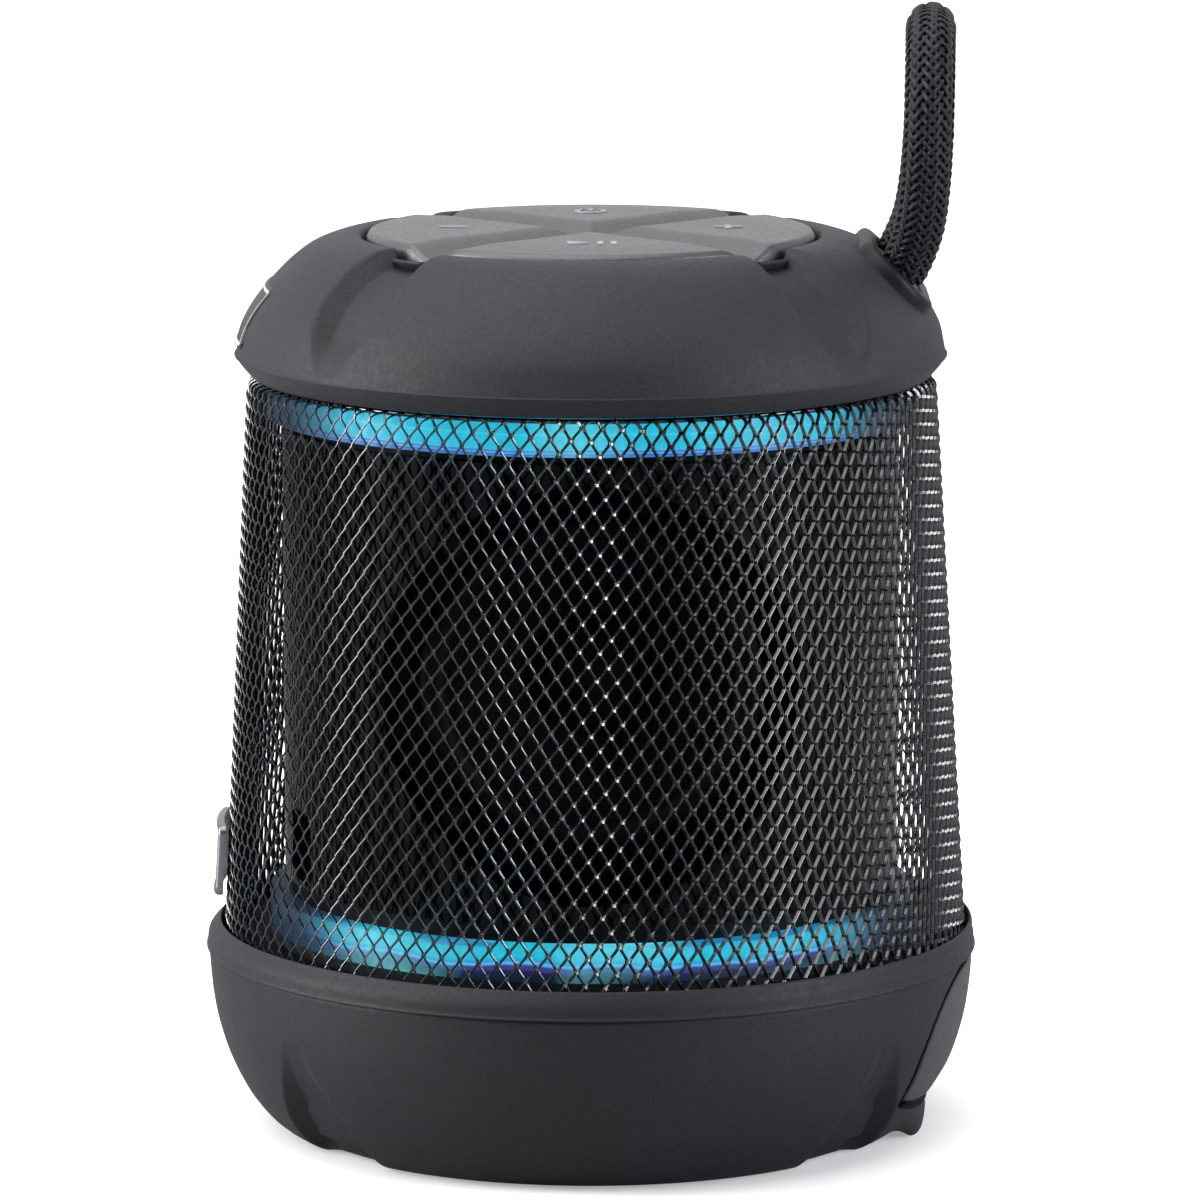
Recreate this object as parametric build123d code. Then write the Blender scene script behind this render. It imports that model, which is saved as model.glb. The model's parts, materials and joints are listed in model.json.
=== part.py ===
from build123d import *
from math import sin, cos, tan, radians, degrees, atan2, hypot, sqrt, pi
import os

os.makedirs("parts", exist_ok=True)

# ---------------------------------------------------------------- driving dimensions (mm)
BODY_H = 116.0            # crest of the keys
R_BASE = 49.5             # widest radius of the rubber base
R_CAP = 45.3              # widest radius of the rubber top cap
GR_Z0, GR_Z1 = 23.7, 93.7 # lower edge, and the height where the radius is GR_R1
GR_ZT = 94.8              # top of the straight part
GR_R1 = 44.35             # grille radius at GR_Z1
GR_TAPER = 0.0534         # radius gained per mm going down
GR_T = 0.6                # grille sheet thickness
R_RING_O, R_RING_I = 41.3, 38.6   # light rings
LOW_RING = (26.4, 30.9)
UP_RING = (92.2, 97.0)
R_BARREL, T_BARREL = 39.4, 2.2
BARREL_Z = (33.05, 91.0)
ZD = 62.0                 # height of the driver axis
YB = 26.5                 # baffle front planes at y = -YB and y = +YB
R_PANEL = 28.65           # control panel
KEY_TRAVEL = 0.4
VALLEY = 45.0             # direction of the X valleys, from the front
CORD_D = 6.15
CORD_R = CORD_D / 2
CORD_Y = 7.6              # the cord's two ends, each side of the middle
MOUTH = Vector(39.3, 0, 111.05)   # middle of the collar's face
EXIT_SLOPE = 59.4         # cord's rise at the collar, degrees above level
HINGE_FLAP = (49.0, 22.6) # x, z of the port flap's bending line
FLAP_RHO = 19.3
PORT_X = 38.0             # face that holds the two sockets
JACK_Y, JACK_Z, JACK_R, JACK_L = -8.0, 13.35, 1.8, 14.0
USB_Y, USB_Z = 7.0, 12.45
SCREW_XY = 22.3           # base screws
BAR_XY = (30.5, 11.5)     # barrel screws

PARTS = {}


def put(name, shape, label=None):
    PARTS[name] = shape


def face_rz(start, *segs):
    """Closed profile in the XZ plane: straight runs and three-point arcs."""
    edges, cur = [], start
    for s in segs:
        if isinstance(s[0], (int, float)):
            edges.append(Line(cur, s))
            cur = s
        else:
            edges.append(ThreePointArc(cur, s[0], s[1]))
            cur = s[1]
    if cur != start:
        edges.append(Line(cur, start))
    return Plane.XZ * make_face(edges)


def rev(start, *segs, angle=360.0):
    return revolve(face_rz(start, *segs), Axis.Z, angle)


def ring(r0, r1, z0, z1):
    return rev((r0, z0), (r1, z0), (r1, z1), (r0, z1))


def disc(r, z0, z1, x=0.0, y=0.0):
    return Pos(x, y, (z0 + z1) / 2) * Cylinder(r, z1 - z0)


def box(x0, x1, y0, y1, z0, z1):
    return Pos((x0 + x1) / 2, (y0 + y1) / 2, (z0 + z1) / 2) * Box(x1 - x0, y1 - y0, z1 - z0)


def rev_y(start, *segs, back=False):
    """Profile (radius, y) turned about the driver axis, which runs along Y."""
    edges, cur = [], start
    for s in segs:
        if isinstance(s[0], (int, float)):
            edges.append(Line(cur, s))
            cur = s
        else:
            edges.append(ThreePointArc(cur, s[0], s[1]))
            cur = s[1]
    if cur != start:
        edges.append(Line(cur, start))
    pl = Plane(origin=(0, 0, ZD), x_dir=(1, 0, 0), z_dir=(0, 0, 1))
    return revolve(pl * make_face(edges), Axis((0, 0, ZD), (0, 1, 0)), 360)


def cyl_y(r, y0, y1, x=0.0, z=ZD):
    return Pos(x, (y0 + y1) / 2, z) * Rot(90, 0, 0) * Cylinder(r, y1 - y0)


def cyl_x(r, x0, x1, y, z):
    return Pos((x0 + x1) / 2, y, z) * Rot(0, 90, 0) * Cylinder(r, x1 - x0)


def grille_r(z):
    return GR_R1 + GR_TAPER * (GR_Z1 - z)


# ---------------------------------------------------------------- rubber base
base_outer = [((38.4, 0.0)), ((41.7, 1.75), (44.2, 4.7)), ((46.9, 10.1), (48.5, 15.3)),
              ((49.2, 19.4), (49.5, 23.4)), ((49.36, 25.1), (48.8, 26.5))]
boot_full = rev((36.0, 0.0), *base_outer, ((48.52, 26.9), (48.17, 26.7)), (48.15, 23.55),
                (47.1, 23.55), (46.65, 18.0), (45.35, 12.0), (43.25, 6.5), (40.6, 2.6),
                (36.0, 1.8))
# chin under the port flap
chin = rev((38.8, 0.35), (42.4, 0.4), (43.2, 1.0), (43.35, 2.2), (43.12, 3.2), (41.4, 3.2), angle=56.0)
chin = Rot(0, 0, -28.0) * chin


def flap_outline(g):
    """Arched outline of the flap in the YZ plane, grown by g."""
    hw, zt = 23.0 + g, 22.6 + g
    e = [Line((-hw, 0.0), (hw, 0.0)), Line((hw, 0.0), (hw, 11.0)),
         ThreePointArc((hw, 11.0), (20.6 + g * 0.9, 18.2 + g * 0.5), (11.0, zt)),
         Line((11.0, zt), (-11.0, zt)),
         ThreePointArc((-11.0, zt), (-20.6 - g * 0.9, 18.2 + g * 0.5), (-hw, 11.0)),
         Line((-hw, 11.0), (-hw, 0.0))]
    f = Plane(origin=(30.0, 0, 0), x_dir=(0, 1, 0), z_dir=(1, 0, 0)) * make_face(e)
    return extrude(f, 30.0)


def flap_reach(g):
    return Pos(HINGE_FLAP[0], 0, HINGE_FLAP[1]) * Rot(90, 0, 0) * Cylinder(FLAP_RHO + g, 80)


window = flap_outline(0.3) & flap_reach(0.3)
flap_blank = rev((38.6, 1.2), ((41.35, 2.3), (43.8, 4.95)), ((46.5, 10.2), (48.1, 15.3)),
                 ((48.8, 19.4), (49.05, 23.4)), (47.2, 23.4), (46.75, 18.0), (45.45, 12.0),
                 (43.35, 6.5), (40.7, 2.7))
flap = flap_blank & flap_outline(0.0) & flap_reach(0.0)
# fingernail scoop in the flap's lower edge, at the front corner
flap -= Pos(42.6, -18.5, 6.0) * Rot(0, 0, -24) * Rot(0, -20, 0) * Box(6, 7, 2.0)


def flute(az, p0, p1, r):
    """Round-bottomed groove along the line p0-p1 given as (radius, z)."""
    a = radians(az)
    v0 = Vector(p0[0] * cos(a), p0[0] * sin(a), p0[1])
    v1 = Vector(p1[0] * cos(a), p1[0] * sin(a), p1[1])
    d = v1 - v0
    c = (v0 + v1) * 0.5
    pl = Plane(origin=c, z_dir=d)
    return pl * Cylinder(r, d.length)


base_boot = boot_full + chin
for az in (-133.0, -47.0, 47.0, 133.0):
    base_boot -= flute(az, (46.6, -6.8), (63.1, 25.2), 9.0)
base_boot -= window
put("base_boot", base_boot)
put("port_flap", flap)
put("foot_pad", disc(35.9, 0.0, 1.75) - ring(30.0, 31.0, -0.1, 0.5) - ring(24.0, 25.0, -0.1, 0.5)
    - ring(18.0, 19.0, -0.1, 0.5))

# ---------------------------------------------------------------- base chassis
ch_out = rev((0, 1.9), (35.9, 1.9), (40.5, 2.7), (43.15, 6.55), (45.25, 12.05), (46.55, 18.0),
             (46.95, 22.9), (0, 22.9))
ch_in = rev((0, 4.0), (38.6, 4.0), (41.3, 7.4), (43.2, 12.6), (44.5, 18.2), (44.9, 23.5), (0, 23.5))
port_block = box(36.0, 60.0, -21.5, 21.5, 0, 30)
chassis = ch_out - (ch_in - port_block)
chassis -= box(PORT_X, 60.0, -19.5, 19.5, 6.0, 21.2)
for sx in (-1, 1):
    for sy in (-1, 1):
        x, y = sx * SCREW_XY, sy * SCREW_XY
        chassis += disc(3.8, 3.9, 15.9, x, y)
        chassis -= disc(2.6, 1.0, 4.4, x, y)
        chassis -= disc(1.3, 4.0, 17.0, x, y)
for x, y in ((0, 27.5), (0, -27.5), (-27.5, 0), (25.0, 0)):
    chassis += disc(2.4, 3.9, 9.15, x, y)
    chassis -= disc(0.95, 5.0, 9.2, x, y)
chassis -= cyl_x(3.1, 30.0, 39.0, JACK_Y, JACK_Z)
usb_hole = Plane(origin=(34.0, USB_Y, USB_Z), x_dir=(0, 1, 0), z_dir=(1, 0, 0)) * SlotOverall(9.4, 3.7)
chassis -= extrude(usb_hole, 6.0)
# gasket groove in the rim
chassis -= ring(45.5, 46.3, 22.1, 23.0)
put("base_chassis", chassis)
put("rim_gasket", ring(45.55, 46.25, 22.15, 22.95))

# sockets, main board, battery
jack = box(24.0, 35.9, JACK_Y - 3.0, JACK_Y + 3.0, 10.85, 15.85)
jack += cyl_x(2.95, 35.8, PORT_X, JACK_Y, JACK_Z)
jack -= cyl_x(JACK_R, PORT_X - JACK_L, PORT_X + 0.1, JACK_Y, JACK_Z)
jack += box(23.0, 24.2, JACK_Y - 3.0, JACK_Y + 3.0, 10.85, 15.85)
put("aux_socket", jack)
usb_pl = Plane(origin=(30.6, USB_Y, USB_Z), x_dir=(0, 1, 0), z_dir=(1, 0, 0))
usb = extrude(usb_pl * SlotOverall(8.94, 3.16), 7.3)
usb -= Pos(0.6, 0, 0) * extrude(usb_pl * SlotOverall(8.34, 2.56), 7.3)
usb += box(30.9, 36.9, USB_Y - 3.3, USB_Y + 3.3, USB_Z - 0.35, USB_Z + 0.35)
put("usb_socket", usb)
pcb = disc(33.0, 9.2, 10.8) + box(20, 35.6, -14, 14, 9.2, 10.8)
for sx in (-1, 1):
    for sy in (-1, 1):
        pcb -= disc(4.1, 8, 12, sx * SCREW_XY, sy * SCREW_XY)
for x, y in ((0, 27.5), (0, -27.5), (-27.5, 0), (25.0, 0)):
    pcb -= disc(1.1, 8, 12, x, y)
put("main_board", pcb)
chips = box(-14, -4, -10, 0, 10.85, 12.1)
put("board_parts", Compound(children=[box(-14, -4, -10, 0, 10.85, 12.1), box(2, 8, -20, -14, 10.85, 12.6),
                                      box(-20, -14, 8, 14, 10.85, 13.4), box(6, 12, 12, 16, 10.85, 12.0)]))
put("board_screws", Compound(children=[
    disc(1.9, 10.85, 12.2, x, y) + disc(0.9, 5.2, 10.9, x, y)
    for x, y in ((0, 27.5), (0, -27.5), (-27.5, 0), (25.0, 0))]))
tray = box(-29.0, 22.9, -17.5, 12.5, 14.3, 15.3)
tray += box(-29.0, 22.9, -17.5, -16.3, 14.3, 20.0) + box(-29.0, 22.9, 11.3, 12.5, 14.3, 20.0)
tray += box(-29.0, -27.8, -17.5, 12.5, 14.3, 20.0)
for x, y in ((-22.0, -14.0), (-24.0, 4.0), (14.0, -14.6), (17.0, 9.0)):
    tray += disc(1.6, 10.85, 14.4, x, y)
put("battery_tray", tray)
put("battery_cell", fillet(box(-27.5, 22.5, -16.0, 11.0, 15.35, 21.9).edges().filter_by(Axis.Y), 1.5))

# ---------------------------------------------------------------- deck, lower light
deck = disc(47.0, 23.0, 25.05) + ring(36.8, 38.4, 25.0, 33.0)
for sx in (-1, 1):
    for sy in (-1, 1):
        x, y = sx * SCREW_XY, sy * SCREW_XY
        deck += disc(3.4, 16.0, 23.1, x, y)
        deck -= disc(1.2, 15.0, 22.0, x, y)
        x, y = sx * BAR_XY[0], sy * BAR_XY[1]
        deck += disc(3.0, 25.0, 33.0, x, y)
        deck -= disc(1.3, 22.0, 34.0, x, y)
deck -= box(-5.5, 5.5, 18.5, 21.5, 20, 30)
put("lower_deck", deck)
put("lower_led_board", ring(R_RING_I, R_RING_O, 25.1, 26.35))
put("lower_light_ring", ring(R_RING_I, R_RING_O, *LOW_RING))
put("base_screws", Compound(children=[
    disc(2.4, 2.5, 4.35, sx * SCREW_XY, sy * SCREW_XY) + disc(1.18, 4.3, 21.5, sx * SCREW_XY, sy * SCREW_XY)
    for sx in (-1, 1) for sy in (-1, 1)]))

# ---------------------------------------------------------------- barrel
bz0, bz1 = BARREL_Z
barrel = ring(R_BARREL - T_BARREL, R_BARREL, bz0, bz1)
barrel += disc(R_BARREL - 1, bz0, bz0 + 2.0) + disc(R_BARREL - 1, bz1 - 2.0, bz1)
core = disc(R_BARREL - 1, bz0, bz1)
barrel += core & box(-60, 60, -YB, -YB + 2.2, 0, 120)
barrel += core & box(-60, 60, YB - 2.2, YB, 0, 120)
barrel -= cyl_y(26.3, -60, -YB)
barrel -= cyl_y(26.3, YB, 60)
barrel -= cyl_y(22.6, -YB - 1, -YB + 3)
barrel -= cyl_y(22.6, YB - 3, YB + 1)
for sx in (-1, 1):
    for sy in (-1, 1):
        x, y = sx * BAR_XY[0], sy * BAR_XY[1]
        barrel += disc(3.0, bz0 + 1.9, 42.0, x, y)
        barrel -= disc(1.2, bz0 - 1, 41.0, x, y)
        barrel -= disc(1.35, bz1 - 3, bz1 + 1, x, y)
barrel -= box(-5.5, 5.5, 18.5, 21.5, bz0 - 1, bz0 + 3)
barrel -= box(-5.5, 5.5, 18.5, 21.5, bz1 - 3, bz1 + 1)
put("barrel", barrel)
put("barrel_screws", Compound(children=[
    disc(2.3, 21.1, 22.95, sx * BAR_XY[0], sy * BAR_XY[1]) + disc(1.15, 22.9, 40.5, sx * BAR_XY[0], sy * BAR_XY[1])
    for sx in (-1, 1) for sy in (-1, 1)]))

# ---------------------------------------------------------------- driver, facing the front
put("driver_basket", rev_y((22.4, -27.75), (26.0, -27.75), (26.0, -26.55), (22.3, -26.55),
                           (21.9, -25.0), (16.2, -18.9), (15.6, -14.65), (13.4, -14.65),
                           (13.4, -15.6), (14.5, -15.6), (14.7, -17.7), (13.2, -17.7),
                           (13.2, -18.5), (14.9, -19.3), (20.9, -25.4), (21.3, -26.8), (22.4, -26.8))
    - Compound(children=[cyl_y(0.95, -30, -26, 24.2 * cos(radians(a)), ZD + 24.2 * sin(radians(a))) for a in (45, 135, 225, 315)]))
put("driver_gasket", rev_y((22.6, -28.6), (25.6, -28.6), (25.6, -27.8), (22.6, -27.8))
    - Compound(children=[cyl_y(1.5, -30, -26, 24.2 * cos(radians(a)), ZD + 24.2 * sin(radians(a))) for a in (45, 135, 225, 315)]))
sur = rev_y((17.0, -27.3), (17.9, -27.3), ((19.95, -29.3), (21.7, -27.3)), (22.35, -27.3),
            (22.35, -26.85), (21.35, -26.85), ((19.9, -28.75), (18.4, -26.85)), (17.0, -26.85))
put("driver_surround", sur)
put("driver_cone", rev_y((17.7, -26.8), (17.7, -26.3), (6.6, -20.2), (6.6, -20.75)))
dome_c, dome_r, dome_t = -13.844, 10.756, 0.45     # centre on the axis, outer radius, thickness


def on_dome(r, t):
    return (r, dome_c - sqrt((dome_r - t) ** 2 - r * r))


put("dust_cap", rev_y(on_dome(0, 0), (on_dome(3.98, 0), on_dome(7.4, 0)), on_dome(6.9, dome_t),
                      (on_dome(3.7, dome_t), on_dome(0, dome_t))))
put("voice_coil", rev_y((6.2, -21.2), (6.55, -21.2), (6.55, -11.4), (6.2, -11.4)))
put("driver_spider", rev_y((6.6, -18.2), (8.2, -18.2), (9.0, -18.9), (10.0, -18.0), (11.0, -18.9), (12.0, -18.0),
                           (13.15, -18.4), (13.15, -17.95), (12.0, -17.55), (11.0, -18.45), (10.0, -17.55),
                           (9.0, -18.45), (8.2, -17.75), (6.6, -17.75)))
put("driver_top_plate", rev_y((7.0, -14.6), (15.4, -14.6), (15.4, -12.1), (7.0, -12.1)))
put("driver_magnet", rev_y((8.6, -12.05), (16.0, -12.05), (16.0, -6.1), (8.6, -6.1)))
put("driver_yoke", rev_y((0, -14.6), (5.8, -14.6), (5.8, -6.05), (15.5, -6.05), (15.5, -4.0), (0, -4.0)))
put("driver_screws", Compound(children=[
    cyl_y(1.4, -28.7, -27.8, 24.2 * cos(radians(a)), ZD + 24.2 * sin(radians(a)))
    + cyl_y(0.85, -27.9, -26.55, 24.2 * cos(radians(a)), ZD + 24.2 * sin(radians(a)))
    for a in (45, 135, 225, 315)]))

# passive radiator, facing the back
put("radiator_frame", rev_y((22.0, 27.75), (26.0, 27.75), (26.0, 26.55), (22.0, 26.55))
    - Compound(children=[cyl_y(0.95, 25, 30, 24.2 * cos(radians(a)), ZD + 24.2 * sin(radians(a))) for a in (45, 135, 225, 315)]))
put("radiator_surround", rev_y((14.6, 27.0), (15.8, 27.0), ((18.5, 29.7), (21.2, 27.0)), (21.95, 27.0),
                               (21.95, 26.5), (20.7, 26.5), ((18.5, 29.1), (16.3, 26.5)), (14.6, 26.5)))
put("radiator_diaphragm", rev_y((0, 26.45), (15.6, 26.45), (15.6, 25.5), (0, 25.5)))
put("radiator_weight", rev_y((0, 25.45), (8.0, 25.45), (8.0, 23.6), (0, 23.6)))
put("radiator_screws", Compound(children=[
    cyl_y(1.4, 27.8, 28.7, 24.2 * cos(radians(a)), ZD + 24.2 * sin(radians(a)))
    + cyl_y(0.85, 26.55, 27.9, 24.2 * cos(radians(a)), ZD + 24.2 * sin(radians(a)))
    for a in (45, 135, 225, 315)]))

# ribbon cable from the main board to the key board
put("ribbon_cable", box(-4, 4, 19.7, 20.3, 10.85, 103.3))

# ---------------------------------------------------------------- grille and its badge
g0, g1 = grille_r(GR_Z0), grille_r(GR_ZT)
grille = rev((g0 - GR_T, GR_Z0), (g0, GR_Z0), (g1, GR_ZT), ((43.96, 96.15), (42.95, 96.95)), (41.9, 97.15),
             (41.9, 96.55), (42.75, 96.4), ((43.4, 95.85), (g1 - GR_T, GR_ZT - 0.1)))
put("grille", grille)
zb0, zb1 = 30.4, 39.6
badge_low = rev((grille_r(zb0) + 0.03, zb0), (grille_r(zb0) + 1.0, zb0), (grille_r(zb1) + 1.0, zb1),
                (grille_r(zb1) + 0.03, zb1))
put("grille_badge", badge_low & box(-60, 0, -7.0, 7.0, 20, 50))

# ---------------------------------------------------------------- top chassis
cap_in = rev((0, 96.0), (42.75, 96.0), (42.75, 100.5), (41.2, 104.0), (38.2, 108.4), (35.2, 111.1),
             (31.0, 112.6), (0, 112.6))
tc = rev((30.0, 97.7), (42.65, 97.7), (42.65, 100.46), (41.1, 103.93), (38.12, 108.3), (35.15, 110.98),
         (30.95, 112.5), (29.2, 112.5), (29.2, 110.8), (0, 110.8), (0, 108.8), (30.4, 108.8), (33.6, 107.7),
         (36.4, 105.2), (39.0, 102.0), (40.4, 99.7), (30.0, 99.7))
tc += ring(36.8, 38.4, 91.05, 97.8)
dome = rev((0, 97.7), (42.65, 97.7), (42.65, 100.46), (41.1, 103.93), (38.12, 108.3), (35.15, 110.98),
           (30.95, 112.5), (29.2, 112.5), (29.2, 110.8), (0, 110.8))
tc += dome & box(28.5, 60, -13.0, 13.0, 99.6, 112.4)
for sx in (-1, 1):
    for sy in (-1, 1):
        x, y = sx * BAR_XY[0], sy * BAR_XY[1]
        tc += disc(3.0, 91.05, 99.0, x, y)
        tc -= disc(1.2, 90.0, 98.6, x, y)
KEYS = {"left": (-16.5, 0.0), "right": (16.5, 0.0), "front": (0.0, -16.5), "back": (0.0, 16.5)}
for x, y in KEYS.values():
    tc -= disc(2.7, 105, 112, x, y)
KB = 16.8
for sx in (-1, 1):
    for sy in (-1, 1):
        tc += disc(2.2, 105.05, 108.9, sx * KB, sy * KB)
        tc -= disc(0.95, 104.0, 108.2, sx * KB, sy * KB)
MIC = (5.9, -5.9)
LED = (-6.6, 6.6)
tc -= disc(0.6, 105, 112, *MIC)
tc -= disc(1.1, 105, 112, *LED)

# cord sockets: two slanted bores under the collar
ex = Vector(cos(radians(EXIT_SLOPE)), 0, sin(radians(EXIT_SLOPE)))
nrm = Vector(cos(radians(45)), 0, sin(radians(45)))


def slant(r, a, b, y):
    p0 = Vector(MOUTH.X, y, MOUTH.Z) + ex * a
    return Plane(origin=p0, z_dir=ex) * extrude(Circle(r), b - a)


for y in (-CORD_Y, CORD_Y):
    tc -= slant(3.2, -11.0, 4.0, y)
put("top_chassis", tc)
put("top_screws", Compound(children=[
    disc(2.3, 87.1, 88.95, sx * BAR_XY[0], sy * BAR_XY[1]) + disc(1.15, 88.9, 98.2, sx * BAR_XY[0], sy * BAR_XY[1])
    for sx in (-1, 1) for sy in (-1, 1)]))
put("upper_led_board", ring(R_RING_I, R_RING_O, 97.05, 97.65))
put("upper_light_ring", ring(R_RING_I, R_RING_O, *UP_RING))

# ---------------------------------------------------------------- cord collar, tails, carry loop
collar_pl = Plane(origin=MOUTH, x_dir=(0, 1, 0), z_dir=nrm)


def obround(half_len, half_w, d0, d1):
    return collar_pl * Pos(0, 0, d0) * extrude(SlotOverall(2 * half_len, 2 * half_w), d1 - d0)


collar = obround(13.0, 6.0, -7.5, 0.0)
collar = chamfer(collar.faces().sort_by(Axis(MOUTH, nrm))[-1].edges(), 0.5)
collar -= cap_in
collar -= obround(CORD_Y + 3.55, 3.55, -9.0, 1.0)
for y in (-CORD_Y, CORD_Y):
    collar -= slant(3.3, -9.0, 0.0, y)
if len(collar.solids()) > 1:
    collar = max(collar.solids(), key=lambda s: s.volume)
put("cord_collar", collar)
put("cord_tails", Compound(children=[slant(CORD_R, -9.5, -2.3, y) for y in (-CORD_Y, CORD_Y)]))
put("cord_ferrules", Compound(children=[slant(3.12, -10.9, -9.55, y) for y in (-CORD_Y, CORD_Y)]))

ROUTE = [(39.30, -7.60, 111.05), (41.05, -8.70, 114.60), (41.95, -11.10, 120.00), (42.35, -12.70, 127.40),
         (42.50, -12.30, 134.90), (42.75, -7.20, 141.25), (43.45, 6.60, 141.35), (43.60, 12.20, 135.30),
         (43.45, 12.90, 127.60), (42.80, 11.30, 120.10), (41.45, 8.80, 114.60), (39.30, 7.60, 111.05)]
pts = [Vector(*p) for p in ROUTE]
radii = []
for a, b, c in zip(pts, pts[1:], pts[2:]):
    u, v = b - a, c - b
    turn = radians(u.get_angle(v))
    radii.append(0.45 * min(u.length, v.length) / tan(turn / 2))
    print("corner", [round(t, 2) for t in (b.X, b.Y, b.Z)], "turn %.1f" % degrees(turn), "radius %.2f" % radii[-1],
          "runs %.2f %.2f" % (u.length, v.length))
path = FilletPolyline(*pts, radius=radii)
start = pts[1] - pts[0]
cord = sweep(Plane(origin=pts[0], z_dir=start) * Circle(CORD_R), path=path.wire() if hasattr(path, "wire") else path)
print("cord volume %.1f" % cord.volume, "section x length %.1f" % (pi * CORD_R ** 2 * path.length), "length %.2f" % path.length)
put("carry_cord", cord)

# ---------------------------------------------------------------- rubber top cap
cap = rev((42.75, 97.3), (43.25, 97.3), ((44.4, 98.5), (45.3, 99.85)), ((44.9, 101.5), (44.15, 103.95)),
          ((41.6, 107.85), (38.1, 111.65)), ((34.8, 114.1), (31.3, 115.0)), (29.9, 115.15),
          ((29.35, 114.95), (29.15, 114.4)), (29.15, 112.6), (31.0, 112.6), (35.2, 111.1), (38.2, 108.4),
          (41.2, 104.0), (42.75, 100.5))
for az in (-133.0, -47.0, 47.0, 133.0):
    cap -= flute(az, (57.5, 99.5), (37.8, 123.0), 8.5)
badge_band = rev((45.6, 101.2), (43.9, 105.7), (41.35, 109.3), (40.2, 108.4), (42.6, 105.0), (44.2, 101.2))
badge_cut = box(-60, 0, -9.05, 9.05, 90, 120)
badge_box = box(-60, 0, -9.0, 9.0, 90, 120)
badge = rev((45.25, 101.3), (43.95, 105.3), (41.3, 109.2), (40.75, 108.65), (43.1, 104.95), (44.4, 101.3)) & badge_box
cap -= rev((47.6, 101.25), (46.2, 105.3), (42.9, 110.5), (40.33, 108.37), (42.95, 104.8), (44.25, 101.25)) & badge_cut
cap -= obround(13.05, 6.05, -9.0, 5.0)
put("top_boot", cap)
put("cap_badge", badge)

# ---------------------------------------------------------------- control panel and keys
panel = disc(R_PANEL, 110.9, 112.6)
rib = box(-R_PANEL, R_PANEL, -1.6, 1.6, 112.5, 114.2)
ribs = (Rot(0, 0, 45) * rib) + (Rot(0, 0, -45) * rib)
panel += ribs & disc(R_PANEL, 112.5, 114.2)
for x, y in KEYS.values():
    panel -= disc(2.7, 110, 113, x, y)
panel -= disc(0.6, 110, 115, *MIC)
panel -= disc(1.1, 110, 115, *LED)
put("control_panel", panel)
NAMES = {"left": 180.0, "right": 0.0, "front": -90.0, "back": 90.0}
for k, (x, y) in KEYS.items():
    pie = disc(R_PANEL - 0.1, 113.05, BODY_H)
    a = radians(45)
    off = 1.85 * sqrt(2)      # clear of the ribs
    wedge = Polyline((off, 0), (60, 60 - off), (60, -60 + off), close=True)
    w = Pos(0, 0, 112) * extrude(make_face(wedge), 6)
    key = (Rot(0, 0, NAMES[k]) * w) & pie
    key = chamfer(key.faces().sort_by(Axis.Z)[-1].edges(), 0.9)
    key += disc(2.6, 107.5, 113.2, x, y)
    put("key_" + k, key)

# ---------------------------------------------------------------- key board
kb = disc(26.0, 103.4, 105.0)
for sx in (-1, 1):
    for sy in (-1, 1):
        kb -= disc(1.1, 103, 106, sx * KB, sy * KB)
put("key_board", kb)
put("key_switches", Compound(children=[
    box(x - 3, x + 3, y - 3, y + 3, 105.05, 106.6) + disc(1.6, 106.5, 107.0, x, y) for x, y in KEYS.values()]))
put("key_board_screws", Compound(children=[
    disc(1.8, 101.8, 103.35, sx * KB, sy * KB) + disc(0.9, 103.3, 107.6, sx * KB, sy * KB)
    for sx in (-1, 1) for sy in (-1, 1)]))
put("microphone", disc(2.0, 105.05, 106.4, *MIC))
put("status_light", disc(1.0, 105.05, 114.0, *LED))

# ---------------------------------------------------------------- write
for name, shape in PARTS.items():
    export_step(shape if isinstance(shape, (Compound, Solid, Part)) else Compound(children=[shape]), "parts/%s.step" % name)
print(len(PARTS), "nodes")
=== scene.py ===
import json
import math

import bmesh
import bpy
import numpy as np
from mathutils import Matrix, Vector


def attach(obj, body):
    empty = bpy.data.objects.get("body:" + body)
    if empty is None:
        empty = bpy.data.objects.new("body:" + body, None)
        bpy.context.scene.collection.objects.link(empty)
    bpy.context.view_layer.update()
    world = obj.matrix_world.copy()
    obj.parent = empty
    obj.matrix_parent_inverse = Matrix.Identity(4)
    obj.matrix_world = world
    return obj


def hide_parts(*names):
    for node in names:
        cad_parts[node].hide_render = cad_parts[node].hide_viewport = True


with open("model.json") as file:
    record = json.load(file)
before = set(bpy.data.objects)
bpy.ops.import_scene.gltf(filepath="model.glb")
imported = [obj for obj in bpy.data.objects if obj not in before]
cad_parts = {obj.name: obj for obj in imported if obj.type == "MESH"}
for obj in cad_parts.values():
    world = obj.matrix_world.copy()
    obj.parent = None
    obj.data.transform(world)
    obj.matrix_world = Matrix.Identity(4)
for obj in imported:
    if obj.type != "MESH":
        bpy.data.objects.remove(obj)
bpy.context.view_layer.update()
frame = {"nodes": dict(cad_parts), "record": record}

MM = 0.001
rng = np.random.default_rng(7)

# ------------------------------------------------------------------ camera, cord first
scene = bpy.context.scene
cam_data = bpy.data.cameras.new("camera")
cam = bpy.data.objects.new("camera", cam_data)
scene.collection.objects.link(cam)
cam_data.sensor_width = 36.0
cam_data.lens = 229.92
cam_data.clip_end = 20.0
cam_data.clip_start = 0.05
PITCH = math.radians(9.38)
cam.location = (0.00117, -0.970, 0.228)
cam.rotation_euler = (math.radians(90) - PITCH, 0, 0)
scene.camera = cam
scene.view_settings.view_transform = "Standard"
scene.view_settings.look = "None"


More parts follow.
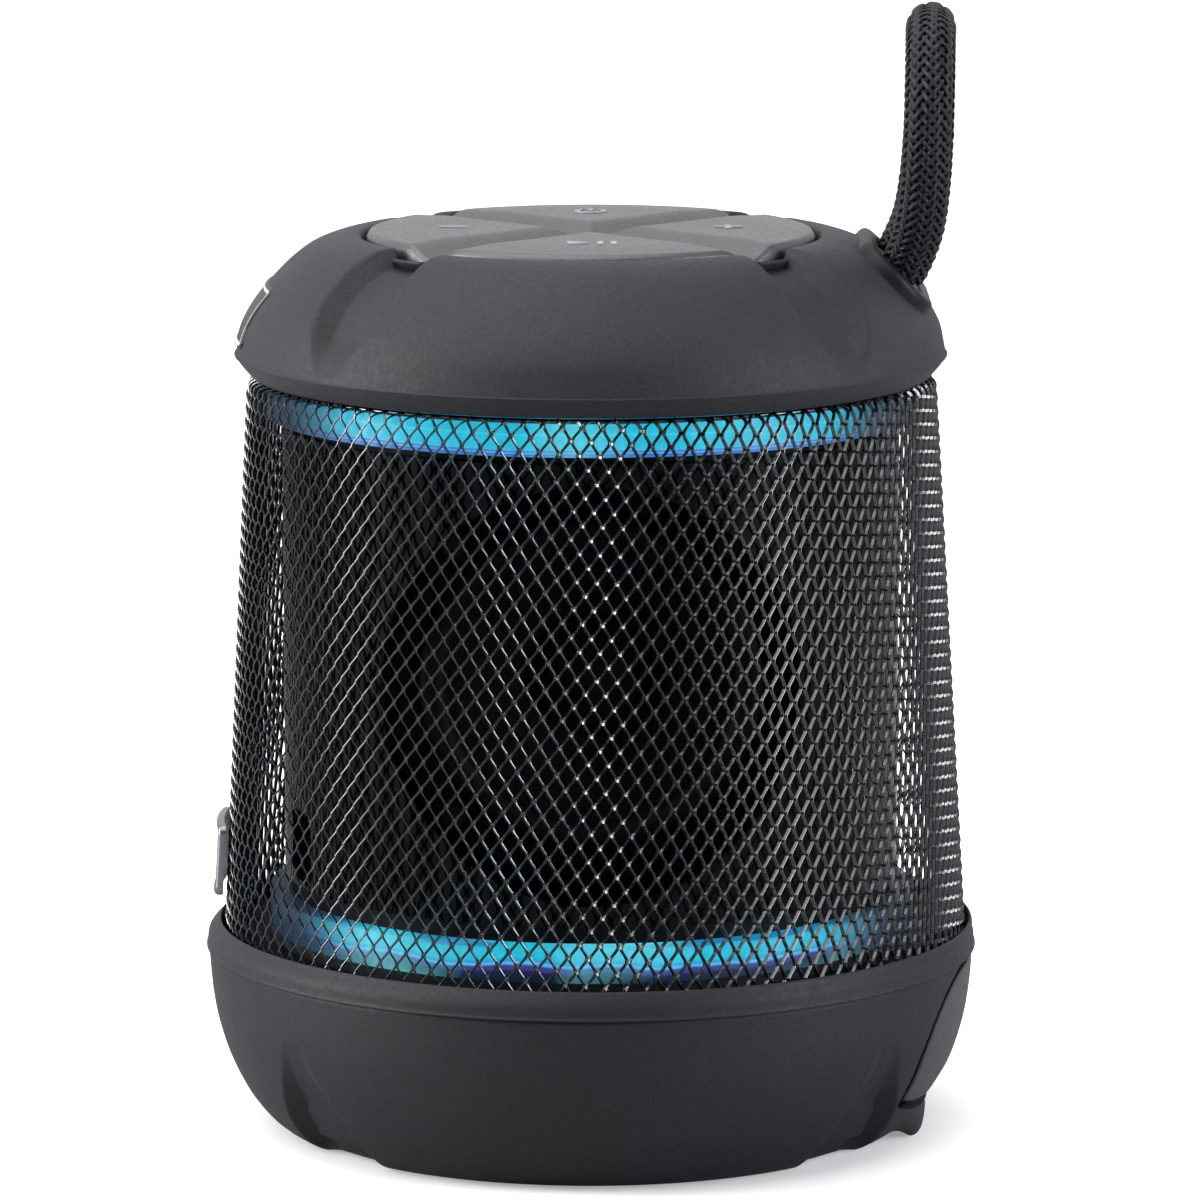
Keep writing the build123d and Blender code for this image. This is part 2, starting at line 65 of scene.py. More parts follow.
# ------------------------------------------------------------------ mesh helpers
def mesh_obj(name, verts, faces, smooth=True, mat=None):
    me = bpy.data.meshes.new(name)
    verts = np.asarray(verts, float)
    me.from_pydata([tuple(v) for v in verts], [], [tuple(int(i) for i in f) for f in faces])
    me.validate()
    if smooth:
        me.polygons.foreach_set("use_smooth", [True] * len(me.polygons))
    ob = bpy.data.objects.new(name, me)
    scene.collection.objects.link(ob)
    if mat:
        me.materials.append(mat)
    return ob


def recalc(ob):
    bm = bmesh.new()
    bm.from_mesh(ob.data)
    bmesh.ops.recalc_face_normals(bm, faces=bm.faces)
    bm.to_mesh(ob.data)
    bm.free()


def sharp_edges(ob, angle=35.0):
    """Marks edges sharper than the angle, so that smooth shading breaks there."""
    bm = bmesh.new()
    bm.from_mesh(ob.data)
    lim = math.radians(angle)
    for e in bm.edges:
        if len(e.link_faces) == 2:
            e.smooth = e.calc_face_angle(0.0) < lim
    bm.to_mesh(ob.data)
    bm.free()


def grid_faces(n, m, close_n=False, close_m=False, base=0):
    """Quads of an n x m grid of points, in row order."""
    i, j = np.meshgrid(np.arange(n if close_n else n - 1), np.arange(m if close_m else m - 1), indexing="ij")
    i, j = i.ravel(), j.ravel()
    i2, j2 = (i + 1) % n, (j + 1) % m
    return np.stack([i * m + j, i2 * m + j, i2 * m + j2, i * m + j2], axis=1) + base


def catmull(points, per=8):
    """A smooth line through the points (centripetal Catmull-Rom)."""
    p = np.asarray(points, float)
    p = np.vstack([2 * p[0] - p[1], p, 2 * p[-1] - p[-2]])
    out = []
    for a, b, c, d in zip(p, p[1:], p[2:], p[3:]):
        t0 = 0.0
        t1 = t0 + max(np.linalg.norm(b - a), 1e-6) ** 0.5
        t2 = t1 + max(np.linalg.norm(c - b), 1e-6) ** 0.5
        t3 = t2 + max(np.linalg.norm(d - c), 1e-6) ** 0.5
        for t in np.linspace(t1, t2, per, endpoint=False):
            a1 = (t1 - t) / (t1 - t0) * a + (t - t0) / (t1 - t0) * b
            a2 = (t2 - t) / (t2 - t1) * b + (t - t1) / (t2 - t1) * c
            a3 = (t3 - t) / (t3 - t2) * c + (t - t2) / (t3 - t2) * d
            b1 = (t2 - t) / (t2 - t0) * a1 + (t - t0) / (t2 - t0) * a2
            b2 = (t3 - t) / (t3 - t1) * a2 + (t - t1) / (t3 - t1) * a3
            out.append((t2 - t) / (t2 - t1) * b1 + (t - t1) / (t2 - t1) * b2)
    out.append(np.asarray(points[-1], float))
    return np.array(out)


def even(line, step):
    """Points every step along a line."""
    line = np.asarray(line, float)
    along = np.concatenate([[0], np.cumsum(np.linalg.norm(np.diff(line, axis=0), axis=1))])
    at = np.linspace(0, along[-1], max(2, int(math.ceil(along[-1] / step)) + 1))
    return np.stack([np.interp(at, along, line[:, k]) for k in range(line.shape[1])], axis=1)


def smoothstep(a, b, x):
    t = np.clip((np.asarray(x, float) - a) / (b - a), 0, 1)
    return t * t * (3 - 2 * t)


# ------------------------------------------------------------------ materials
def new_mat(name):
    m = bpy.data.materials.new(name)
    m.use_nodes = True
    nt = m.node_tree
    nt.nodes.clear()
    out = nt.nodes.new("ShaderNodeOutputMaterial")
    bsdf = nt.nodes.new("ShaderNodeBsdfPrincipled")
    nt.links.new(bsdf.outputs["BSDF"], out.inputs["Surface"])
    return m, nt, bsdf


def n_tex(nt, kind, scale, detail=3.0, rough=0.55, vec=None, **kw):
    t = nt.nodes.new(kind)
    t.inputs["Scale"].default_value = scale
    if "Detail" in t.inputs:
        t.inputs["Detail"].default_value = detail
    if "Roughness" in t.inputs:
        t.inputs["Roughness"].default_value = rough
    for k, v in kw.items():
        t.inputs[k].default_value = v
    if vec is not None:
        nt.links.new(vec, t.inputs["Vector"])
    return t


def n_ramp(nt, fac, stops, interp="LINEAR"):
    r = nt.nodes.new("ShaderNodeValToRGB")
    r.color_ramp.interpolation = interp
    els = r.color_ramp.elements
    while len(els) < len(stops):
        els.new(0.5)
    for e, (p, c) in zip(els, stops):
        e.position = p
        e.color = (*c, 1.0) if len(c) == 3 else c
    nt.links.new(fac, r.inputs["Fac"])
    return r


def n_map(nt, val, a, b, c, d):
    r = nt.nodes.new("ShaderNodeMapRange")
    r.inputs["From Min"].default_value = a
    r.inputs["From Max"].default_value = b
    r.inputs["To Min"].default_value = c
    r.inputs["To Max"].default_value = d
    nt.links.new(val, r.inputs["Value"])
    return r


def n_math(nt, op, a, b=None):
    r = nt.nodes.new("ShaderNodeMath")
    r.operation = op
    for i, v in enumerate((a, b)):
        if v is None:
            continue
        if isinstance(v, (int, float)):
            r.inputs[i].default_value = v
        else:
            nt.links.new(v, r.inputs[i])
    return r.outputs[0]


def n_bump(nt, height, strength, dist, prev=None):
    b = nt.nodes.new("ShaderNodeBump")
    b.inputs["Strength"].default_value = strength
    b.inputs["Distance"].default_value = dist
    nt.links.new(height, b.inputs["Height"])
    if prev is not None:
        nt.links.new(prev, b.inputs["Normal"])
    return b.outputs["Normal"]


def n_mix(nt, fac, a, b):
    m = nt.nodes.new("ShaderNodeMix")
    m.data_type = "RGBA"
    if isinstance(fac, (int, float)):
        m.inputs["Factor"].default_value = fac
    else:
        nt.links.new(fac, m.inputs["Factor"])
    for k, v in (("A", a), ("B", b)):
        s = [i for i in m.inputs if i.name == k and i.type == "RGBA"][0]
        if isinstance(v, (tuple, list)):
            s.default_value = (*v, 1.0)
        else:
            nt.links.new(v, s)
    return [o for o in m.outputs if o.type == "RGBA"][0]


def rubber(name, base, rough=0.6, grain=1.0, tint=(0.9, 0.9, 1.1), specks=0.5, spec=0.3, coat=0.0):
    """Matte moulded rubber: soft colour drift, fine grain, faint dust specks, rubbed-smooth patches."""
    m, nt, bsdf = new_mat(name)
    co = nt.nodes.new("ShaderNodeTexCoord").outputs["Object"]
    drift = n_tex(nt, "ShaderNodeTexNoise", 55.0, 4.0, 0.6, co)
    fine = n_tex(nt, "ShaderNodeTexNoise", 3600.0, 3.0, 0.6, co)
    mid = n_tex(nt, "ShaderNodeTexNoise", 1500.0, 3.0, 0.6, co)
    dark = tuple(c * 0.86 for c in base)
    light = tuple(min(1, c * 1.16) for c in base)
    col = n_ramp(nt, drift.outputs["Fac"], [(0.3, dark), (0.7, light)])
    grainc = n_ramp(nt, fine.outputs["Fac"], [(0.34, tuple(c * 0.50 for c in base)), (0.5, base), (0.66, tuple(c * 1.75 for c in base))])
    c1 = n_mix(nt, 0.5, col.outputs["Color"], grainc.outputs["Color"])
    vor = n_tex(nt, "ShaderNodeTexVoronoi", 420.0, vec=co)
    spot = n_map(nt, vor.outputs["Distance"], 0.03, 0.075, specks, 0.0)
    c2 = n_mix(nt, spot.outputs["Result"], c1, tuple(c * 2.6 * t for c, t in zip(base, tint)))
    nt.links.new(c2, bsdf.inputs["Base Color"])
    r = n_map(nt, mid.outputs["Fac"], 0.3, 0.7, rough - 0.07, rough + 0.08)
    nt.links.new(r.outputs["Result"], bsdf.inputs["Roughness"])
    bsdf.inputs["Specular IOR Level"].default_value = spec
    bsdf.inputs["Sheen Weight"].default_value = 0.02
    bsdf.inputs["Sheen Roughness"].default_value = 0.45
    bsdf.inputs["Sheen Tint"].default_value = (*tint, 1.0)
    bsdf.inputs["Coat Weight"].default_value = coat
    bsdf.inputs["Coat Roughness"].default_value = 0.35
    nrm = n_bump(nt, mid.outputs["Fac"], 0.18 * grain, 0.00012)
    nrm = n_bump(nt, fine.outputs["Fac"], 0.60 * grain, 0.00009, nrm)
    nt.links.new(nrm, bsdf.inputs["Normal"])
    return m


def plastic(name, base, rough=0.4, spec=0.5, bump=0.15, scale=2600.0, vary=0.12, metal=0.0, coat=0.0, coat_rough=0.1):
    m, nt, bsdf = new_mat(name)
    co = nt.nodes.new("ShaderNodeTexCoord").outputs["Object"]
    drift = n_tex(nt, "ShaderNodeTexNoise", 90.0, 4.0, 0.6, co)
    fine = n_tex(nt, "ShaderNodeTexNoise", scale, 3.0, 0.55, co)
    col = n_ramp(nt, drift.outputs["Fac"], [(0.3, tuple(c * (1 - vary) for c in base)), (0.7, tuple(min(1, c * (1 + vary)) for c in base))])
    nt.links.new(col.outputs["Color"], bsdf.inputs["Base Color"])
    r = n_map(nt, fine.outputs["Fac"], 0.3, 0.7, max(0.02, rough * 0.85), min(1, rough * 1.2))
    nt.links.new(r.outputs["Result"], bsdf.inputs["Roughness"])
    bsdf.inputs["Specular IOR Level"].default_value = spec
    bsdf.inputs["Metallic"].default_value = metal
    bsdf.inputs["Coat Weight"].default_value = coat
    bsdf.inputs["Coat Roughness"].default_value = coat_rough
    nt.links.new(n_bump(nt, fine.outputs["Fac"], bump, 0.00005), bsdf.inputs["Normal"])
    return m


def brushed(name, base, rough=0.3, axis=(1, 1, 60), scale=900.0, metal=1.0):
    """Metal with fine parallel scratches."""
    m, nt, bsdf = new_mat(name)
    co = nt.nodes.new("ShaderNodeTexCoord").outputs["Object"]
    mp = nt.nodes.new("ShaderNodeMapping")
    mp.inputs["Scale"].default_value = axis
    nt.links.new(co, mp.inputs["Vector"])
    t = n_tex(nt, "ShaderNodeTexNoise", scale, 4.0, 0.65, mp.outputs["Vector"])
    wear = n_tex(nt, "ShaderNodeTexNoise", 240.0, 3.0, 0.6, co)
    col = n_ramp(nt, t.outputs["Fac"], [(0.3, tuple(c * 0.78 for c in base)), (0.7, tuple(min(1, c * 1.15) for c in base))])
    nt.links.new(col.outputs["Color"], bsdf.inputs["Base Color"])
    r = n_map(nt, wear.outputs["Fac"], 0.3, 0.7, rough * 0.8, rough * 1.35)
    nt.links.new(r.outputs["Result"], bsdf.inputs["Roughness"])
    bsdf.inputs["Metallic"].default_value = metal
    nt.links.new(n_bump(nt, t.outputs["Fac"], 0.25, 0.00003), bsdf.inputs["Normal"])
    return m


# slot colours come out close to the record's
RUBBER = rubber("rubber_boot", (0.0195, 0.0187, 0.0232), rough=0.60, spec=0.33)
# painted shade: the base boot is the same rubber as the cap, given a darker colour that stands in for the shade on its
# forward- and downward-facing sides
RUBBER_BASE_SHADED = rubber("rubber_base_painted_shade", (0.0120, 0.0114, 0.0152), rough=0.60, spec=0.36)
FLAP_MAT = rubber("rubber_flap", (0.036, 0.0355, 0.042), rough=0.55, spec=0.7)
PANEL = rubber("panel_rubber", (0.030, 0.030, 0.034), rough=0.46, grain=0.9, spec=0.8, specks=0.3)
KEY = rubber("key_rubber", (0.040, 0.040, 0.045), rough=0.38, grain=1.3, spec=1.0, specks=0.4)
FOOT = rubber("foot_rubber", (0.028, 0.028, 0.03), rough=0.75, grain=1.4)
PAINT = plastic("grille_paint", (0.0045, 0.0060, 0.0085), rough=0.27, spec=0.75, bump=0.2, scale=4200.0, coat=0.7, coat_rough=0.16)
GLOSS = plastic("barrel_gloss", (0.0006, 0.0006, 0.0009), rough=0.07, spec=0.10, bump=0.02, scale=500.0, coat=0.0)
ABS = plastic("chassis_abs", (0.0030, 0.0030, 0.0036), rough=0.5, bump=0.3, spec=0.12)
COLLAR = plastic("collar_plastic", (0.010, 0.010, 0.0125), rough=0.46, spec=0.22, bump=0.25, scale=3500.0)
BOARD = plastic("circuit_board", (0.015, 0.10, 0.05), rough=0.3, bump=0.3, scale=1800.0, coat=0.5)
CHIP = plastic("board_black", (0.02, 0.02, 0.022), rough=0.45)
# painted shade: the white LED board is coloured dark grey, standing in for the shade behind the grille
LED_BOARD_SHADED = plastic("led_white", (0.020, 0.022, 0.024), rough=0.4, spec=0.2)
SCREW = brushed("steel_screw", (0.42, 0.42, 0.43), 0.32)
# painted shade: steel screws coloured near-black for the shade inside the grille
SHADED_SCREW = brushed("screw_painted_shade", (0.012, 0.012, 0.013), 0.5)
PLATE = brushed("steel_plate", (0.5, 0.5, 0.51), 0.3)
SHELL = brushed("socket_steel", (0.55, 0.56, 0.58), 0.26)
SOCKET = plastic("socket_plastic", (0.02, 0.02, 0.02), rough=0.5)
WRAP = plastic("battery_wrap", (0.05, 0.14, 0.38), rough=0.25, coat=0.4)
SEAL = rubber("seal", (0.26, 0.07, 0.04), rough=0.5)
# painted shade: the driver parts are coloured near-black with little specular, standing in for the shade inside the
# grille and barrel
PAPER = plastic("cone_paper", (0.0012, 0.0012, 0.0014), rough=0.85, spec=0.08, bump=0.8, scale=1400.0)
FOAM = plastic("foam", (0.0012, 0.0012, 0.0012), rough=0.95, spec=0.05, bump=1.0, scale=1100.0)
SURR = plastic("surround_rubber", (0.0012, 0.0012, 0.0014), rough=0.6, spec=0.08, bump=0.3, scale=1800.0)
SPIDER = plastic("spider_cloth", (0.42, 0.24, 0.08), rough=0.9, bump=0.9, scale=2200.0)
COIL = brushed("coil_copper", (0.62, 0.27, 0.12), 0.3, axis=(1, 90, 1))
FERRITE = plastic("ferrite", (0.045, 0.045, 0.05), rough=0.6, bump=0.5)
BASKET = plastic("basket_steel", (0.0015, 0.0015, 0.0018), rough=0.5, spec=0.10)
BRASS = brushed("ferrule_brass", (0.6, 0.42, 0.16), 0.28)
RIBBON = plastic("ribbon", (0.55, 0.3, 0.06), rough=0.3, coat=0.3)
PIPE = plastic("light_pipe", (0.6, 0.62, 0.62), rough=0.25, coat=0.4)


def light_mat(name, stops, z0, z1, gaps):
    """Lit diffuser: cyan core with blue and violet edge bands and a few dull spots; painted shade dims it to deep blue
    at the two sides, so it is brighter in front and behind.
    """
    m, nt, bsdf = new_mat(name)
    co = nt.nodes.new("ShaderNodeTexCoord").outputs["Object"]
    sep = nt.nodes.new("ShaderNodeSeparateXYZ")
    nt.links.new(co, sep.inputs["Vector"])
    wob = n_tex(nt, "ShaderNodeTexNoise", 70.0, 2.0, 0.5, co)
    zz = n_math(nt, "ADD", sep.outputs["Z"], n_math(nt, "MULTIPLY", n_math(nt, "SUBTRACT", wob.outputs["Fac"], 0.5), gaps))
    t = n_map(nt, zz, z0, z1, 0.0, 1.0)
    ramp = n_ramp(nt, t.outputs["Result"], stops)
    # painted shade: bright in front and behind, the two sides fall to deep blue, standing in for the grille hiding the
    # ring where it is seen edge-on
    sq = n_math(nt, "MULTIPLY", sep.outputs["Y"], sep.outputs["Y"])
    side = n_map(nt, sq, (0.0413 * math.cos(math.radians(74))) ** 2, (0.0413 * math.cos(math.radians(42))) ** 2, 0.0, 1.0)
    side.interpolation_type = "SMOOTHSTEP"
    pale = n_tex(nt, "ShaderNodeTexNoise", 46.0, 1.0, 0.4, co)
    fine = n_tex(nt, "ShaderNodeTexNoise", 900.0, 2.0, 0.5, co)
    core = n_mix(nt, n_map(nt, pale.outputs["Fac"], 0.52, 0.70, 0.0, 0.55).outputs["Result"], ramp.outputs["Color"], (0.18, 0.72, 0.80))
    painted_side_shade_col = n_mix(nt, n_map(nt, fine.outputs["Fac"], 0.35, 0.65, 0.0, 1.0).outputs["Result"], (0.004, 0.006, 0.05), (0.05, 0.04, 0.17))
    col = n_mix(nt, side.outputs["Result"], painted_side_shade_col, core)
    nt.links.new(col, bsdf.inputs["Emission Color"])
    st = n_math(nt, "MULTIPLY", n_map(nt, side.outputs["Result"], 0, 1, 0.10, 1.0).outputs["Result"],
                n_map(nt, fine.outputs["Fac"], 0.3, 0.7, 0.88, 1.12).outputs["Result"])
    nt.links.new(st, bsdf.inputs["Emission Strength"])
    bsdf.inputs["Base Color"].default_value = (0.01, 0.04, 0.07, 1)
    bsdf.inputs["Roughness"].default_value = 0.4
    return m


LIGHT_UP = light_mat("light_ring_upper", [
    (0.00, (0.004, 0.006, 0.05)), (0.05, (0.03, 0.20, 0.62)), (0.09, (0.01, 0.09, 0.36)), (0.13, (0.10, 0.40, 0.80)),
    (0.17, (0.01, 0.10, 0.40)), (0.20, (0.06, 0.42, 0.74)), (0.26, (0.01, 0.46, 0.66)), (0.55, (0.005, 0.48, 0.66)),
    (0.58, (0.05, 0.60, 0.76)), (0.62, (0.005, 0.46, 0.64)), (0.92, (0.01, 0.42, 0.62)), (1.0, (0.005, 0.22, 0.42))], 0.0921, 0.0971, 0.0007)
# painted shadow: the lower ring's bottom quarter is near-black, standing in for the shade between the lit band and the
# boot rim
LIGHT_LOW = light_mat("light_ring_lower", [
    (0.00, (0.002, 0.002, 0.012)), (0.22, (0.006, 0.004, 0.04)), (0.30, (0.05, 0.03, 0.22)), (0.36, (0.01, 0.03, 0.20)), (0.44, (0.12, 0.45, 0.85)),
    (0.50, (0.01, 0.28, 0.55)), (0.60, (0.01, 0.46, 0.66)), (0.85, (0.005, 0.48, 0.64)), (0.96, (0.01, 0.40, 0.60)), (1.0, (0.005, 0.20, 0.40))], 0.0264, 0.0309, 0.0034)

BY_SLOT = {
    "rubber": RUBBER, "rubber_flap": FLAP_MAT, "panel_rubber": PANEL, "key_rubber": KEY, "grille_paint": PAINT,
    "barrel_gloss": GLOSS, "light_ring": LIGHT_UP, "collar_plastic": COLLAR, "badge_rubber": COLLAR,
    "badge_metal": SHELL, "chassis_abs": ABS, "foot_rubber": FOOT, "seal": SEAL, "circuit_board": BOARD,
    "board_black": CHIP, "led_white": LED_BOARD_SHADED, "steel_screw": SCREW, "steel_plate": PLATE, "socket_steel": SHELL,
    "socket_plastic": SOCKET, "battery_wrap": WRAP, "cone_paper": PAPER, "foam": FOAM, "surround_rubber": SURR,
    "spider_cloth": SPIDER, "coil_copper": COIL, "ferrite": FERRITE, "basket_steel": BASKET,
    "ferrule_brass": BRASS, "ribbon": RIBBON, "light_pipe": PIPE,
}

# ------------------------------------------------------------------ the carry cord
# the route of the loop, from one end in the collar round to the other, in metres
ROUTE = [(39.30, -7.60, 111.05), (41.05, -8.70, 114.60), (41.95, -11.10, 120.00), (42.35, -12.70, 127.40),
         (42.50, -12.30, 134.90), (42.75, -7.20, 141.25), (43.45, 6.60, 141.35), (43.60, 12.20, 135.30),
         (43.45, 12.90, 127.60), (42.80, 11.30, 120.10), (41.45, 8.80, 114.60), (39.30, 7.60, 111.05)]
cu = bpy.data.curves.new("loop_line", "CURVE")
cu.dimensions = "3D"
sp = cu.splines.new("NURBS")
sp.points.add(len(ROUTE) - 1)
for p, q in zip(sp.points, ROUTE):
    p.co = (q[0] * MM, q[1] * MM, q[2] * MM, 1.0)
sp.order_u = 3
sp.use_endpoint_u = True
sp.resolution_u = 24
line_ob = bpy.data.objects.new("loop_line", cu)
line_me = bpy.data.meshes.new_from_object(line_ob)
LINE = np.array([v.co for v in line_me.vertices], float)
bpy.data.meshes.remove(line_me)
bpy.data.objects.remove(line_ob)
bpy.data.curves.remove(cu)


def frames_along(line, up=(0, 0, 1)):
    """Tangent and two normals at each point, carried along without twist."""
    line = np.asarray(line, float)
    t = np.gradient(line, axis=0)
    t /= np.linalg.norm(t, axis=1)[:, None]
    n = np.zeros_like(t)
    u = np.cross(t[0], (1, 0, 0))
    u /= np.linalg.norm(u)
    n[0] = u
    for i in range(1, len(t)):
        v = n[i - 1] - t[i] * np.dot(n[i - 1], t[i])
        n[i] = v / np.linalg.norm(v)
    b = np.cross(t, n)
    return t, n, b


CORD_R = 3.075 * MM


def braid(name, line, radius, carriers=32, strand_w=0.345, strand_t=0.27, mat=None, core_mat=None, seed=3, fuzz=120, ends=True, phase=0.0):
    """Round braid: carriers strands, half each way, over two and under two, on a core that the cord material paints in
    full shade.
    """
    r = np.random.default_rng(seed)
    line = even(line, 0.22 * MM)
    t, n, b = frames_along(line)
    along = np.concatenate([[0], np.cumsum(np.linalg.norm(np.diff(line, axis=0), axis=1))])
    L = along[-1]
    half = carriers // 2
    pitch = 2 * math.pi * radius * 1.02        # about 45 degrees
    verts, faces, uvw = [], [], []
    V = 0
    k = 8
    ring = np.linspace(0, 2 * math.pi, k, endpoint=False)
    mid_r = radius - strand_t * MM * 1.05
    for sgn in (1, -1):
        for c in range(half):
            th0 = 2 * math.pi * c / half + (0 if sgn > 0 else math.pi / half) + phase
            th = th0 + sgn * 2 * math.pi * along / pitch
            # crossings with the other family come every 1/half turn; two over, two under
            cross = (th - sgn * 0) * half / (2 * math.pi)
            rel = (2 * math.pi * along / pitch) * 2 * half / (2 * math.pi)
            w = np.sin(math.pi * (rel / 2 + (c if sgn > 0 else c + 1) * 1.0) + (0.0 if sgn > 0 else 0.0))
            w = np.tanh(2.2 * w) / math.tanh(2.2)
            rr = mid_r + w * strand_t * MM * 0.52 * (1 if sgn > 0 else -1) + r.normal(0, 0.012 * MM)
            cen = line + (np.cos(th)[:, None] * n + np.sin(th)[:, None] * b) * rr[:, None]
            out = np.cos(th)[:, None] * n + np.sin(th)[:, None] * b
            tg = np.gradient(cen, axis=0)
            tg /= np.linalg.norm(tg, axis=1)[:, None]
            sd = np.cross(tg, out)
            sd /= np.linalg.norm(sd, axis=1)[:, None]
            up = np.cross(sd, tg)
            jit = 1 + 0.06 * np.interp(along, np.linspace(0, L, 24), r.normal(0, 1, 24))
            P = (cen[:, None, :] + sd[:, None, :] * (np.cos(ring)[None, :, None] * strand_w * MM * jit[:, None, None])
                 + up[:, None, :] * (np.sin(ring)[None, :, None] * strand_t * MM))
            verts.append(P.reshape(-1, 3))
            faces.append(grid_faces(len(line), k, close_m=True, base=V))
            faces_caps = [list(range(V, V + k))[::-1], list(range(V + (len(line) - 1) * k, V + len(line) * k))]
            faces.append(faces_caps)
            u = np.repeat(along, k)
            uvw.append(np.stack([u / MM, np.tile(ring / (2 * math.pi), len(line)), np.full(len(u), c * 1.37 + (sgn > 0) * 0.61)], axis=1))
            V += len(line) * k
    # core
    kc = 20
    rc = np.linspace(0, 2 * math.pi, kc, endpoint=False)
    core = line[:, None, :] + (np.cos(rc)[None, :, None] * n[:, None, :] + np.sin(rc)[None, :, None] * b[:, None, :]) * (radius - strand_t * MM * 1.75)
    verts.append(core.reshape(-1, 3))
    faces.append(grid_faces(len(line), kc, close_m=True, base=V))
    faces.append([list(range(V, V + kc))[::-1], list(range(V + (len(line) - 1) * kc, V + len(line) * kc))])
    core_first = sum(len(f) for f in faces[:-2])
    uvw.append(np.zeros((len(line) * kc, 3)))
    V += len(line) * kc
    # stray fibres
    for _ in range(fuzz):
        i = int(r.integers(4, len(line) - 4))
        a = r.uniform(0, 2 * math.pi)
        o = math.cos(a) * n[i] + math.sin(a) * b[i]
        s = r.normal(0, 1, 3)
        s -= o * np.dot(s, o)
        s /= np.linalg.norm(s)
        ln = r.uniform(0.6, 1.9) * MM
        lift = r.uniform(0.15, 0.75)
        p0 = line[i] + o * (radius - 0.35 * MM)
        steps = np.linspace(0, 1, 6)
        pts = p0 + s * (steps[:, None] * ln) + o * (np.sin(steps * math.pi * r.uniform(0.5, 0.95))[:, None] * ln * lift)
        pts = pts + r.normal(0, 0.05 * MM, 3) * (steps[:, None] ** 2)
        tt = np.gradient(pts, axis=0)
        tt /= np.linalg.norm(tt, axis=1)[:, None]
        e1 = np.cross(tt, o)
        e1 /= np.linalg.norm(e1, axis=1)[:, None] + 1e-12
        e2 = np.cross(tt, e1)
        rad = 0.020 * MM * (1 - 0.6 * steps)
        tri = np.array([0, 2.094, 4.189])
        P = pts[:, None, :] + (np.cos(tri)[None, :, None] * e1[:, None, :] + np.sin(tri)[None, :, None] * e2[:, None, :]) * rad[:, None, None]
        verts.append(P.reshape(-1, 3))
        faces.append(grid_faces(6, 3, close_m=True, base=V))
        faces.append([[V + 2, V + 1, V], [V + 15, V + 16, V + 17]])
        uvw.append(np.tile([7.0, 0.25, 7.0], (18, 1)))
        V += 18
    fl = [tuple(int(x) for x in q) for f in faces for q in f]
    ob = mesh_obj(name, np.vstack(verts), fl)
    att = ob.data.attributes.new("lay", "FLOAT_VECTOR", "POINT")
    att.data.foreach_set("vector", np.vstack(uvw).astype(np.float32).ravel())
    ob.data.materials.append(mat)
    recalc(ob)
    return ob


def cord_mat():
    """Twisted filament yarn: fine diagonal threads on each strand, painted shade in the valleys, paler fibres."""
    m, nt, bsdf = new_mat("cord_braid")
    at = nt.nodes.new("ShaderNodeAttribute")
    at.attribute_name = "lay"
    sep = nt.nodes.new("ShaderNodeSeparateXYZ")
    nt.links.new(at.outputs["Vector"], sep.inputs["Vector"])
    co = nt.nodes.new("ShaderNodeTexCoord").outputs["Object"]
    # filament lines: along the strand, slightly slanted
    slant = n_math(nt, "ADD", n_math(nt, "MULTIPLY", sep.outputs["Y"], 9.0), n_math(nt, "MULTIPLY", sep.outputs["X"], 0.9))
    wave = n_math(nt, "SINE", n_math(nt, "MULTIPLY", slant, 6.2832))
    fil = n_map(nt, wave, -1, 1, 0.0, 1.0)
    nz = n_tex(nt, "ShaderNodeTexNoise", 2600.0, 3.0, 0.6, co)
    h = n_math(nt, "ADD", n_math(nt, "MULTIPLY", fil.outputs["Result"], 0.6), n_math(nt, "MULTIPLY", nz.outputs["Fac"], 0.6))
    col = n_ramp(nt, h, [(0.25, (0.0012, 0.0016, 0.0024)), (0.6, (0.0040, 0.0050, 0.0070)), (1.0, (0.026, 0.030, 0.037))])
    per = n_tex(nt, "ShaderNodeTexNoise", 3.0, 1.0, 0.5, at.outputs["Vector"])
    tone = n_ramp(nt, per.outputs["Fac"], [(0.3, (0.75, 0.78, 0.85)), (0.7, (1.25, 1.25, 1.25))])
    mx = nt.nodes.new("ShaderNodeMix")
    mx.data_type = "RGBA"
    mx.blend_type = "MULTIPLY"
    mx.inputs["Factor"].default_value = 1.0
    s = [i for i in mx.inputs if i.type == "RGBA"]
    # painted shade: each strand's colour is lit on its crown and shaded down its flanks, and its specular level drops
    # there too
    crown = n_math(nt, "SINE", n_math(nt, "MULTIPLY", sep.outputs["Y"], 6.2832))
    flank_shade_mask = n_map(nt, crown, 0.15, 0.95, 0.04, 1.0)
    flank_shaded_col = n_mix(nt, flank_shade_mask.outputs["Result"], (0.0006, 0.0008, 0.0012), col.outputs["Color"])
    nt.links.new(flank_shaded_col, s[0])
    nt.links.new(n_map(nt, flank_shade_mask.outputs["Result"], 0.0, 1.0, 0.02, 0.34).outputs["Result"], bsdf.inputs["Specular IOR Level"])
    nt.links.new(tone.outputs["Color"], s[1])
    nt.links.new([o for o in mx.outputs if o.type == "RGBA"][0], bsdf.inputs["Base Color"])
    bsdf.inputs["Roughness"].default_value = 0.42
    bsdf.inputs["Specular IOR Level"].default_value = 0.60
    bsdf.inputs["Sheen Weight"].default_value = 0.0
    bsdf.inputs["Sheen Roughness"].default_value = 0.4
    bsdf.inputs["Sheen Tint"].default_value = (0.75, 0.8, 0.9, 1)
    nt.links.new(n_bump(nt, h, 0.9, 0.00007), bsdf.inputs["Normal"])
    return m


CORD = cord_mat()
BY_SLOT["cord_braid"] = CORD
cord = braid("loop_braid", LINE, CORD_R, mat=CORD, fuzz=170)
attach(cord, "carry_loop")
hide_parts("carry_cord")
